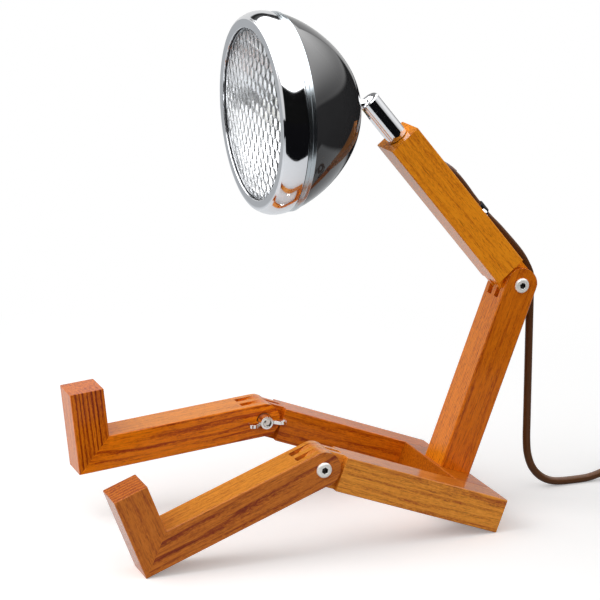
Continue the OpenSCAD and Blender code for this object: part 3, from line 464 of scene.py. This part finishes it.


# Each bar's grain: origin, pitch, seed, tone, lines, spacing, crown tint (partly painted light and
# shade), ruled
bars = {
    "rail_near": (hip_place, hip_pitch, 1, TAN, 0.34, 8 * MM, (0.74, 0.58, 0.5)),
    "rail_far": (hip_place, hip_pitch, 2, AMBER, 0.45, 7 * MM),
    "hip_block": (hip_place, hip_pitch, 3, RUSSET, 0.30, 8 * MM),
    "torso": (elbow, hip_pitch + right_angle, 4, AMBER, 0.25, 8 * MM, (1.08, 1.24, 1), 0.30),
    "upper_arm": (elbow, arm_pitch + right_angle, 5, HONEY, 0.20, 9 * MM),
    "shin_near": (near_knee, near_pitch, 6, BROWN, 0.75, 7 * MM, (1.05, 1.28, 1)),
    "shin_far": (far_knee, far_pitch, 7, GOLD, 0.52, 5.5 * MM, (0.86, 1.05, 1)),
    "toe_near": (near_knee, near_pitch + right_angle, 8, BROWN, 0.18, 14 * MM, (1, 1, 1), 0.4),
    "toe_far": (far_knee, far_pitch + right_angle, 9, AMBER, 0.78, 3.1 * MM),
}
mitred = {"shin_near": "toe_near", "toe_near": "shin_near",
          "shin_far": "toe_far", "toe_far": "shin_far"}
for node, (origin, pitch, *grain) in bars.items():
    bar = finished_copy(node, edge_round, keep_clear=mitred.get(node))
    grain_way = Vector((math.cos(pitch), 0, -math.sin(pitch)))
    mark_faces(bar, "flank", lambda face: abs(face.normal.y))
    mark_faces(bar, "sawn", lambda face: abs(face.normal.dot(grain_way)) > 0.9)
    put_on(bar, hardwood("hardwood_" + node, origin, pitch, *grain), node)


# ---------------------------------------------------------------- dowels and torso screw
# Beech dowels, glued in, join the hip frame and keep the torso from turning. A
# long zinc-plated screw from below pulls the torso down by a brass insert.

def brushed(name, colour, rough, metallic=1.0, grain=700):
    """Turned or plated metal, or turned beech, with fine marks along its z axis."""
    place, close = new_finish(name)
    drawn = place.node("ShaderNodeVectorMath", {0: place, 1: (1, 1, 0.08)}, operation="MULTIPLY")
    marks = noise(drawn, grain, 3, 0.6)
    tint = mix_colour(marks, (*colour, 1), tuple(c * 0.82 for c in colour) + (1,))
    return close(
        base_color=tint, metallic=metallic, roughness=rough + marks * 0.12,
        normal=bumps(marks, 0.02 * MM, 0.3))


def finish_nodes(material, *names):
    """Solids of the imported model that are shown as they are, in this finish."""
    for name in names:
        slots = frame["nodes"][name].data.materials
        slots.clear()
        slots.append(material)


zinc = brushed("zinc_plate", (0.62, 0.63, 0.64), 0.28)
brass = brushed("turned_brass", (0.72, 0.52, 0.22), 0.24)
beech = brushed("beech_dowel", (0.62, 0.42, 0.24), 0.55, 0.0, 400)
finish_nodes(beech, "wood_dowels")
finish_nodes(zinc, "torso_screw")
finish_nodes(brass, "torso_insert")


# ---------------------------------------------------------------- joint hardware
# Zinc-plated button-head bolts go through the fingers of both knees and the
# elbow. Blackened washers and cast, chromed wing nuts clamp them by hand;
# the washers' near-black is also painted shade around the nuts.

socket_r, socket_deep, lip = 2.4 * MM, 2.8 * MM, 0.35 * MM


def plated(name, colour, rough, wear):
    """Bright plating with faint clouds and fine scratches."""
    place, close = new_finish(name)
    cloud = noise(place, 180, 3, 0.6)
    scratch = noise(place, 2400, 2, 0.7)
    worn = (colour[0] * 0.9, colour[1] * 0.9, colour[2] * 0.91, 1)
    return close(
        base_color=mix_colour(cloud * 0.5, (*colour, 1), worn), metallic=1.0,
        roughness=rough + cloud * wear, normal=bumps(scratch * 0.3 + cloud, 0.01 * MM, 0.15))


def satin_zinc():
    """Matt zinc of the bolts, with painted shade in the hexagon sockets and painted dark
    reflections on their tails.
    """
    place, close = new_finish("satin_zinc")
    cloud = noise(place, 500, 3, 0.6)
    painted_dark = place.node("ShaderNodeAttribute", out="Fac", attribute_name="socket")
    tint = mix_colour(cloud, (1.0, 0.99, 0.95, 1), (0.90, 0.885, 0.83, 1))
    # Painted shade and painted reflections: socket faces and tail edges turn near black, the
    # tails' middles in patches.
    reflection_patches = between(noise(place, 330, 1), 0.52, 0.44) * between(painted_dark, 0.1, 0.3)
    painted_dark = reflection_patches.math("MAXIMUM", reflection_patches, between(painted_dark, 0.45, 0.85))
    tint = mix_colour(painted_dark, tint, (0.030, 0.026, 0.020, 1))
    return close(
        base_color=tint, metallic=0.2, roughness=0.28 + cloud * 0.12,
        normal=bumps(cloud, 0.01 * MM, 0.3))


bolt_finish = satin_zinc()
# Near-black washers, also painted shade in the ring around each nut.
black_plate_and_shade = plated("black_plate_and_shade", (0.085, 0.032, 0.012), 0.50, 0.10)
cast_chrome = plated("cast_chrome", (0.82, 0.81, 0.78), 0.06, 0.05)
# Each bolt's joint, and the side its head is on: 0 for the near one, 1 for the far
bolts = (("elbow_bolt", "elbow", 0), ("knee_bolt_near", "knee_near", 0),
         ("knee_bolt_far", "knee_far", 1))
for name, hinge, head_side in bolts:
    bolt = finished_copy(name, 0.15, 28)
    axis_at = Vector(joint[hinge]["pos_m"])
    head_y, tail_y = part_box(name)[head_side].y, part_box(name)[1 - head_side].y

    def painted_shade_on(face):
        """Painted shade, 1 in the hexagon socket; painted dark reflections on the flat tail,
        patchy in its middle.
        """
        from_axis = math.hypot(face.center.x - axis_at.x, face.center.z - axis_at.z)
        if abs(face.center.y - tail_y) < lip:
            return 0.9 if from_axis > lip else 0.4
        return from_axis < socket_r and lip < abs(face.center.y - head_y) < socket_deep

    mark_faces(bolt, "socket", painted_shade_on)
    put_on(bolt, bolt_finish, name)
for name in ("elbow_washer", "knee_washer_near", "knee_washer_far"):
    put_on(finished_copy(name, 0.2), black_plate_and_shade, name)
for name in ("elbow_nut", "knee_nut_near", "knee_nut_far"):
    put_on(finished_copy(name, 0.45, 30, 3), cast_chrome, name)


# ---------------------------------------------------------------- ball neck
# A chromed tube turns in a brass bush in the arm's end, and a steel ring keeps it
# there. Its slotted mouth holds the ball of the stud over a sprung brass cup.

chrome = plated("bright_chrome", (0.80, 0.81, 0.83), 0.045, 0.04)
for name, bevel in (("neck_tube", 0.3), ("ball_stud", 0.2)):
    put_on(finished_copy(name, bevel, 34, 3), chrome, name)
finish_nodes(brass, "neck_bush", "ball_cup")
finish_nodes(zinc, "neck_ring", "neck_spring")


# ---------------------------------------------------------------- inner leads
# The mains lead's cores in their smooth brown plastic, drawn through the arm,
# the neck and the head to the lampholder.

def moulded(name, colour, rough, texture=0.03):
    """Moulded plastic, rubber or ceramic with a fine grained skin."""
    place, close = new_finish(name)
    grain = noise(place, 3200, 2, 0.6)
    cloud = noise(place, 60, 2, 0.5)
    tint = mix_colour(cloud, (*colour, 1), tuple(c * 1.35 for c in colour) + (1,))
    return close(
        base_color=tint, roughness=rough + grain * 0.15,
        normal=bumps(grain, texture * MM, 0.4))


lead_plastic = moulded("inner_lead", (0.055, 0.035, 0.025), 0.4)
finish_nodes(lead_plastic, "arm_lead", "neck_lead", "head_leads")


# ---------------------------------------------------------------- bowl
# A deep bowl spun from sheet steel and stoved in glossy black enamel. A satin
# chrome ring with one fine groove is pressed on behind its open edge, and the
# ball's stud is fixed through its back with a washer and a nut.

ball = Vector(joint["head_tilt"]["pos_m"])
head_bend = math.radians(52)
head = Matrix.Translation(ball) @ Matrix.Rotation(arm_pitch - head_bend, 4, "Y")
# Radii and heights in mm, along the head's own axis from the ball
bowl_back, bowl_edge, bowl_neck, trim_front = 11.5, 63.5, 74.5, 69.5
bowl_wall, stud_hole_r = 1.2, 3.4
blunt_r, blunt_z = 2.12, 1.28
trim_t, trim_gap, trim_play, trim_round = 0.9, 0.3, 0.05, 0.35
groove_z, groove_half, groove_deep = 66.4, 0.3, 0.25
pole_within = 0.001 * MM


def reach_of(node):
    """The node's radius about the head's axis, in mm."""
    low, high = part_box(node)
    return (high.y - low.y) / 2 / MM


def arc(r, z, radius, start, end, steps):
    """Points of a round corner, by its centre and its two angles in degrees."""
    angles = np.radians(np.linspace(start, end, steps + 1))
    return [(r + radius * math.cos(a), z + radius * math.sin(a)) for a in angles]


def turned(name, outline, sides=144, sharp=38):
    """A ring turned about the head's axis from closed (radius, height) points."""
    mesh = bmesh.new()
    ring = [mesh.verts.new((r * MM, 0, z * MM)) for r, z in outline]
    edges = [mesh.edges.new(pair) for pair in zip(ring, ring[1:] + ring[:1])]
    bmesh.ops.spin(
        mesh, geom=ring + edges, axis=(0, 0, 1), cent=(0, 0, 0), angle=2 * math.pi,
        steps=sides, use_merge=True)
    bmesh.ops.remove_doubles(mesh, verts=mesh.verts, dist=pole_within)
    bmesh.ops.dissolve_degenerate(mesh, dist=pole_within, edges=mesh.edges)
    bmesh.ops.recalc_face_normals(mesh, faces=mesh.faces)
    for face in mesh.faces:
        face.smooth = True
    for edge in mesh.edges:
        edge.smooth = edge.calc_face_angle(0) < math.radians(sharp)
    done = bpy.data.meshes.new(name)
    mesh.to_mesh(done)
    mesh.free()
    return shown_piece(done, name)


def set_in_head(thing):
    thing.data.transform(head)
    return thing


def bowl_curve(r, back):
    """The bowl's superellipse from its edge in to the stud's hole."""
    points = []
    for share in np.linspace(0, 1, 49)[:-1]:
        a = share * math.pi / 2
        points.append((r * math.cos(a) ** (2 / blunt_r),
                       bowl_edge - (bowl_edge - back) * math.sin(a) ** (2 / blunt_z)))
    return [p for p in points if p[0] > stud_hole_r + 0.5] + [(stud_hole_r, back)]


def black_enamel():
    """Stoved black enamel: a hard glossy coat with a trace of orange peel."""
    place, close = new_finish("black_enamel")
    peel = noise(place, 420, 2, 0.5)
    dust = noise(place, 60, 3, 0.6)
    tint = mix_colour(dust, (0.034, 0.034, 0.036, 1), (0.044, 0.044, 0.046, 1))
    return close(
        base_color=tint, roughness=0.40 + dust * 0.08, specular_ior_level=0.0,
        coat_weight=1.0, coat_roughness=0.02, coat_ior=1.55,
        normal=bumps(peel, 0.008 * MM, 0.2))


bowl_r = reach_of("bowl")
bowl = turned("bowl_shell", [
    *bowl_curve(bowl_r, bowl_back)[::-1], (bowl_r, bowl_neck),
    (bowl_r - bowl_wall, bowl_neck), *bowl_curve(bowl_r - bowl_wall, bowl_back + bowl_wall),
])
put_on(set_in_head(bowl), black_enamel(), "bowl")

trim_in, trim_end = bowl_r + trim_play, trim_front - trim_gap
trim_out = trim_in + trim_t
trim = turned("trim_ring", [
    (trim_in, bowl_edge),
    *arc(trim_out - trim_round, bowl_edge + trim_round, trim_round, -90, 0, 3),
    (trim_out, groove_z - groove_half), (trim_out - groove_deep, groove_z),
    (trim_out, groove_z + groove_half), (trim_out, trim_end - 0.2), (trim_in, trim_end),
])
satin_chrome = plated("satin_chrome", (0.50, 0.55, 0.58), 0.20, 0.03)
put_on(set_in_head(trim), satin_chrome, "bowl_trim")
finish_nodes(zinc, "stud_washer", "stud_nut")


# ---------------------------------------------------------------- lampholder and bulb
# A glazed ceramic lampholder on a bent, zinc-plated steel bracket inside the
# bowl, and a small capsule bulb with a frosted envelope plugged into it.

def opal_glass():
    """The bulb's frosted envelope."""
    place, close = new_finish("opal_glass")
    cloud = noise(place, 220, 2, 0.5)
    tint = mix_colour(cloud, (0.90, 0.88, 0.80, 1), (0.94, 0.93, 0.88, 1))
    return close(base_color=tint, roughness=0.3 + cloud * 0.1, coat_weight=0.4, coat_roughness=0.1)


finish_nodes(zinc, "holder_bracket")
finish_nodes(moulded("glazed_ceramic", (0.72, 0.70, 0.64), 0.22, 0.005), "lampholder")
put_on(finished_copy("bulb", 0.3, 40, 3), opal_glass(), "bulb")


# ---------------------------------------------------------------- lens and reflector
# Pressed glass, smooth and slightly domed in front, with a honeycomb of small
# pillows on its inner face. It sits in a grey rubber channel before a bright
# aluminium reflector, and four bent springs press them forward into the rim.

lens_r, lens_front, lens_back, lens_bulge = 57, 83.9, 80.7, 3.0
lens_edge_r, edge_chamfer = reach_of("lens"), 0.2
cell_pitch, cell_turn, pillow_h = 8 * MM, math.radians(8), 0.75 * MM
pillows_to, plain_from = 56 * MM, (53.5 * MM, 55.0 * MM)
inner_skin = (82.0 * MM, 81.2 * MM)      # where the front's tint gives way to the cells'
flange_z, flange_t, reflector_t = 79.4, 0.75, 0.8
reflector_z, reflector_hole_r, reflector_out_r = 33, 12, lens_r - 1


def reflector_r(z):
    """The radius of the reflector's parabola at a height."""
    share = (z - reflector_z) / (flange_z - reflector_z)
    return math.sqrt(
        reflector_hole_r ** 2 + (reflector_out_r ** 2 - reflector_hole_r ** 2) * share)


def lens_outline():
    """From the middle of the front over the edge to the middle of the back."""
    front = [(r, lens_front + lens_bulge * (1 - (r / lens_r) ** 2))
             for r in np.linspace(0, lens_r, 20)]
    edge = [(lens_edge_r - edge_chamfer, lens_front), (lens_edge_r, lens_front - edge_chamfer),
            (lens_edge_r, lens_back + edge_chamfer), (lens_edge_r - edge_chamfer, lens_back)]
    back = [(r, lens_back) for r in np.linspace(lens_r, 0, 76)]
    return front + edge + back


def cell_share(x, y, pitch):
    """0 in the middle of a honeycomb cell, 1 along its border."""
    rows, half = pitch * 3 ** 0.5, pitch * 0.5

    def from_middle(x, y):
        """How far a point lies from the nearest cell's middle, across the flats."""
        dx = x.math("WRAP", x, rows * 0.5, rows * -0.5)
        dy = y.math("WRAP", y, half, half * -1)
        dx, dy = dx.math("ABSOLUTE", dx), dy.math("ABSOLUTE", dy)
        return dx.math("MAXIMUM", dy, dy * 0.5 + dx * (3 ** 0.5 / 2))

    one, other = from_middle(x, y), from_middle(x + rows * 0.5, y + half)
    return one.math("MINIMUM", one, other) / half


def honeycomb_pillows(solid, pitch, height, turn, reach, face):
    """Raises a pillow over every cell of a honeycomb on the face at that height."""
    place = solid.node("GeometryNodeInputPosition")
    spun = solid.node(
        "ShaderNodeVectorRotate", {"Vector": place, "Angle": turn}, rotation_type="Z_AXIS")
    x = spun.node("ShaderNodeSeparateXYZ", {0: spun})
    y = spun.node("ShaderNodeSeparateXYZ", {0: spun}, out=1)
    pillow = 1 - cell_share(x, y, pitch) ** 2.6
    distance = place.node("ShaderNodeVectorMath", {0: place}, out="Value", operation="LENGTH")
    level = place.node("ShaderNodeSeparateXYZ", {0: place}, out=2)
    from_axis = (distance ** 2 - level ** 2) ** 0.5
    inside = from_axis.math("LESS_THAN", from_axis, reach)
    at_face = level.math("COMPARE", level, face, 0.02 * MM)
    drop = pillow * height * inside * -1
    offset = drop.node("ShaderNodeCombineXYZ", {2: drop})
    return solid.node(
        "GeometryNodeSetPosition", {"Geometry": solid, "Selection": at_face, "Offset": offset})


def grown(thing, name, material, sizes, rule):
    """The piece as a Geometry Nodes tree makes it, with its sizes as inputs."""
    tree = bpy.data.node_groups.new(name, "GeometryNodeTree")
    tree.interface.new_socket("Geometry", in_out="INPUT", socket_type="NodeSocketGeometry")
    tree.interface.new_socket("Geometry", in_out="OUTPUT", socket_type="NodeSocketGeometry")
    inputs = {
        size: tree.interface.new_socket(size, in_out="INPUT", socket_type="NodeSocketFloat")
        for size in sizes}
    given = Wire(tree).node("NodeGroupInput")
    wires = [Wire(tree, given.socket.node.outputs[size]) for size in sizes]
    solid = rule(given, *wires)
    solid = solid.node("GeometryNodeRealizeInstances", {0: solid})
    solid = solid.node("GeometryNodeSetMaterial", {"Geometry": solid, "Material": material})
    solid.node("NodeGroupOutput", {0: solid})
    growth = thing.modifiers.new(name, "NODES")
    growth.node_group = tree
    for size, value in sizes.items():
        growth[inputs[size].identifier] = value
    return apply_modifiers(thing)


def pressed_glass():
    """Clear glass with painted shade: grey where the borders of the cells bend the light, and
    darker grey at its plain outer edge.
    """
    place, close = new_finish("pressed_glass")
    ripple = noise(place, 90, 2, 0.5)
    to_lens = Matrix.Rotation(cell_turn, 4, "Z") @ head.inverted()
    in_lens = place.node(
        "ShaderNodeMapping",
        {"Vector": place, "Location": to_lens.to_translation(), "Rotation": to_lens.to_euler()},
        vector_type="POINT")
    x = in_lens.node("ShaderNodeSeparateXYZ", {0: in_lens})
    y = in_lens.node("ShaderNodeSeparateXYZ", {0: in_lens}, out=1)
    z = in_lens.node("ShaderNodeSeparateXYZ", {0: in_lens}, out=2)
    border = between(cell_share(x, y, cell_pitch), 0.78, 0.97) * between(z, *inner_skin)
    tint = mix_colour(border, (0.98, 0.985, 0.99, 1), (0.66, 0.67, 0.69, 1))
    # Painted shade at the glass's plain outer edge.
    edge_shade = between((x ** 2 + y ** 2) ** 0.5, *plain_from)
    tint = mix_colour(edge_shade, tint, (0.50, 0.51, 0.53, 1))
    return close(
        base_color=tint, roughness=0.02 + ripple * 0.02,
        transmission_weight=1.0, ior=1.42, normal=bumps(ripple, 0.03 * MM, 0.3))


heights = np.linspace(reflector_z, flange_z, 28)
reflector = turned("reflector_bowl", [
    *[(reflector_r(z) + reflector_t, z) for z in heights], (lens_edge_r, flange_z),
    (lens_edge_r, flange_z + flange_t), (reflector_out_r, flange_z + flange_t),
    *[(reflector_r(z), z) for z in heights[::-1]],
])
silvering = plated("silvered", (0.96, 0.965, 0.97), 0.10, 0.08)
put_on(set_in_head(reflector), silvering, "reflector")

lens = grown(
    turned("lens_glass", lens_outline(), sides=400, sharp=60), "honeycomb", pressed_glass(),
    {"Pitch": cell_pitch, "Height": pillow_h, "Turn": cell_turn, "Reach": pillows_to,
     "Face": lens_back * MM},
    honeycomb_pillows)
put_on(set_in_head(lens), lens.data.materials[0], "lens")
finish_nodes(moulded("grey_gasket", (0.40, 0.41, 0.42), 0.55), "lens_gasket")
finish_nodes(zinc, "lens_clips")


# ---------------------------------------------------------------- rim
# The ring that frames the lens, spun from thin sheet, polished and then chromed.
# It swells behind its front face and slips over the bowl's open edge.

rim_front, rim_w, rim_crest, rim_wall = 85.5, 16, 10.5, 1.0
rim_swell, rim_tuck = 4.0, 0.5
lip_round, front_round, back_round = 0.45, 0.9, 0.25
rim_most_r = reach_of("rim")


def rim_r(t):
    """The radius of the rim's outer face, t behind its front."""
    if t < rim_crest:
        return rim_most_r - rim_swell * ((rim_crest - t) / rim_crest) ** 2
    return rim_most_r - rim_tuck * ((t - rim_crest) / (rim_w - rim_crest)) ** 2


rim = turned("rim_ring", [
    *arc(lens_r + lip_round, rim_front - lip_round, lip_round, 180, 90, 4),
    *arc(rim_r(0) - front_round + 0.1, rim_front - front_round, front_round, 90, 25, 5),
    *[(rim_r(t), rim_front - t) for t in np.linspace(front_round, rim_w - back_round, 26)],
    *arc(rim_r(rim_w) - 0.3, rim_front - rim_w + back_round, back_round, -20, -90, 3),
    *[(rim_r(t) - rim_wall, rim_front - t) for t in np.linspace(rim_w, rim_wall, 20)],
    (lens_r, rim_front - rim_wall),
])
put_on(set_in_head(rim), chrome, "rim")


# ---------------------------------------------------------------- sleeve and cord clip
# A brown rubber sleeve lines the hole by which the lead leaves the arm's back.
# Below it a dark-plated, bent steel saddle with one chromed screw holds the lead.

brown_rubber = moulded("brown_rubber", (0.075, 0.030, 0.014), 0.45)
dark_zinc = brushed("dark_zinc", (0.035, 0.035, 0.037), 0.30)
put_on(finished_copy("cord_sleeve", 0.3, 34, 3), brown_rubber, "cord_sleeve")
put_on(finished_copy("cord_clip", 0.15, 34), dark_zinc, "cord_clip")
put_on(finished_copy("clip_screw", 0.15, 34), chrome, "clip_screw")


# ---------------------------------------------------------------- mains lead
# Two-core lead in a brown woven sleeve. It leaves the back of the arm, runs under
# the clip, hangs behind the torso, passes the switch and is wound up beside it.

arm_back = Vector((0, 1, 0)).cross(arm_up)
cord_r = 2.8 * MM
cord_y = 4 * MM
cord_sides, cord_step = 16, 2.2 * MM
strands = 12


def arm_point(out, up):
    """A point of the lead's line: out from the arm's middle, up from its bolt."""
    return elbow + arm_back * out + arm_up * up + Vector((0, cord_y, 0))


along_arm = [
    (8.6, 108.3), (10.3, 104.6), (12, 101), (13.5, 97.3), (14.6, 93.4), (15.3, 88.9),
    (15.6, 84), (15.5, 76), (15.1, 68), (15, 60), (15, 52), (15.4, 45),
]
over_elbow = [
    (139.3, 195.7), (144.8, 189.7), (149.8, 184.1), (154.8, 178.3), (158.8, 172.9),
    (162.3, 166.9), (165.2, 160.5), (165.7, 156), (165.8, 144), (165.8, 130), (165.8, 116),
]
down_and_along = [
    (165.8, 100), (165.8, 84), (165.8, 68), (165.8, 52), (165.9, 38), (167, 27),
    (170.5, 17), (176.7, 9.4), (184.9, 4.7), (194, 3), (208, 2.8), (216, 3.1), (224, 4.7),
    (231, 6.9), (237.6, 7.9), (268, 8), (298.4, 7.9),
]
to_coil = [
    (305, 4, 6.8), (313, 2.9, 5.2), (321, -0.4, 4.1), (328, -6, 3.3), (333, -14, 2.9),
    (335, -24, 2.8), (335.4, -36, 2.8), (335, -46, 2.8),
]
coil_centre = Vector((296, -58, 0)) * MM
wide, middle, narrow = 39, 33, 27
lower_layer, upper_layer = 2.8, 8.4
coil_turns, coil_step = 5.25, 22.5
to_plug = [(283, -97, 8.5), (272, -97, 8), (262.5, -97, 7.1), (250, -97, 6.8)]


def coil_point(degrees):
    """The wound lead after so many degrees: inwards, up a layer, outwards."""
    inward = [(0, wide), (300, wide), (360, middle), (660, middle), (720, narrow)]
    outward = [(1260, narrow), (1320, middle), (1620, middle), (1680, wide), (2000, wide)]
    reach = np.interp(degrees, *zip(*inward, *outward))
    rise = np.interp(degrees, (950, 1025), (lower_layer, upper_layer))
    angle = math.radians(-degrees)
    return coil_centre + Vector((reach * math.cos(angle), reach * math.sin(angle), rise)) * MM


def smooth_line(points, step):
    """Points a step apart on one smooth curve through the given ones."""
    fine = []
    padded = [2 * points[0] - points[1], *points, 2 * points[-1] - points[-2]]
    for a, b, c, d in zip(padded, padded[1:], padded[2:], padded[3:]):
        count = max(1, round((c - b).length / step))
        for i in range(count):
            t = i / count
            fine.append(0.5 * (
                2 * b + (c - a) * t + (2 * a - 5 * b + 4 * c - d) * t ** 2
                + (3 * b - a - 3 * c + d) * t ** 3))
    return fine + [points[-1]]


def tube_mesh(name, line, radius, sides):
    """A closed tube along line with its own UV map: turns, and metres along."""
    heading = [(b - a).normalized() for a, b in zip([line[0], *line], [*line[1:], line[-1]])]
    heading[0], heading[-1] = heading[1], heading[-2]
    across = Vector((0, 1, 0)).cross(heading[0]).normalized()
    verts, marks, run = [], [], 0.0
    for i, (centre, ahead) in enumerate(zip(line, heading)):
        across = (across - ahead * across.dot(ahead)).normalized()
        beside = ahead.cross(across)
        run += (centre - line[i - 1]).length if i else 0
        marks.append(run)
        for k in range(sides):
            a = 2 * math.pi * k / sides
            verts.append(centre + radius * (math.cos(a) * across + math.sin(a) * beside))
    faces, uvs = [], []
    for i in range(len(line) - 1):
        for k in range(sides):
            low, high = i * sides, (i + 1) * sides
            faces.append((low + k, low + (k + 1) % sides, high + (k + 1) % sides, high + k))
            uvs += [(k / sides, marks[i]), ((k + 1) / sides, marks[i]),
                    ((k + 1) / sides, marks[i + 1]), (k / sides, marks[i + 1])]
    last = (len(line) - 1) * sides
    faces += [tuple(range(sides))[::-1], tuple(range(last, last + sides))]
    uvs += [(0, 0)] * sides + [(0, run)] * sides
    mesh = bpy.data.meshes.new(name)
    mesh.from_pydata(verts, [], faces)
    layer = mesh.uv_layers.new(name="run")
    for loop, uv in zip(layer.data, uvs):
        loop.uv = uv
    mesh.polygons.foreach_set("use_smooth", [len(f) == 4 for f in faces])
    return mesh, run


def woven_sleeve():
    """Fine diamond braid of brown yarn, with painted shade between the yarns."""
    place, close = new_finish("brown_braid")
    lie = place.node("ShaderNodeUVMap", uv_map="run")
    turns = lie.node("ShaderNodeSeparateXYZ", {0: lie})
    metres = lie.node("ShaderNodeSeparateXYZ", {0: lie}, out=1)
    yarns_per_metre = strands / (2 * math.pi * cord_r)
    one_way = (turns * strands + metres * yarns_per_metre) * (2 * math.pi)
    other_way = (turns * strands - metres * yarns_per_metre) * (2 * math.pi)
    weave = one_way.math("SINE", one_way) * other_way.math("SINE", other_way) * 0.5 + 0.5
    fibres = noise(place, 2600, 2, 0.6)
    shade = weave * 0.65 + fibres * 0.35
    colour = shade.node(
        "ShaderNodeValToRGB", {0: shade},
        stops=[(0.15, (0.030, 0.009, 0.002)), (0.5, (0.095, 0.031, 0.006)),
               (0.85, (0.170, 0.064, 0.014))])
    return close(
        base_color=colour, roughness=0.45 + fibres * 0.15, specular_ior_level=0.15,
        coat_weight=0.5, coat_ior=1.3, coat_roughness=0.22, normal=bumps(shade, 0.12 * MM, 0.6))


stations = [arm_point(out * MM, up * MM) for out, up in along_arm]
stations += [Vector((x * MM, cord_y, z * MM)) for x, z in over_elbow + down_and_along]
stations += [Vector(p) * MM for p in to_coil]
stations += [coil_point(a) for a in np.arange(0, 360 * coil_turns + 1, coil_step)]
stations += [Vector(p) * MM for p in to_plug]
cord_line = smooth_line(stations, cord_step)
cord_mesh, cord_length = tube_mesh("mains_lead", cord_line, cord_r, cord_sides)
mains_lead = shown_piece(cord_mesh, "mains_lead")
cord_mesh.materials.append(woven_sleeve())
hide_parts("cord_arm", "cord_bend", "cord_drop", "cord_lead", "cord_coil", "cord_tail")
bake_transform(mains_lead)


# ---------------------------------------------------------------- switch, plug and tie
# The switch's two shells, its rocker and the plug are moulded from black plastic,
# and zinc-plated screws close the switch. The plug has bright pins and a ribbed
# relief, and a strap of the same black plastic ties the wound lead.

black_plastic = moulded("black_plastic", (0.020, 0.020, 0.021), 0.42)
gloss_plastic = moulded("rocker_plastic", (0.025, 0.025, 0.026), 0.18, 0.01)
finish_nodes(zinc, "switch_screws")
finish_nodes(chrome, "plug_pins")
for name, bevel in (("switch_base", 2.2), ("switch_cover", 2.2), ("plug_body", 2.4),
                    ("plug_relief", 0.3), ("coil_tie", 0.5)):
    put_on(finished_copy(name, bevel, 30, 4), black_plastic, name)
put_on(
    finished_copy("switch_rocker", 0.5, 30, 3), gloss_plastic, "switch_rocker")
[tuple(p) for p in cord_line]
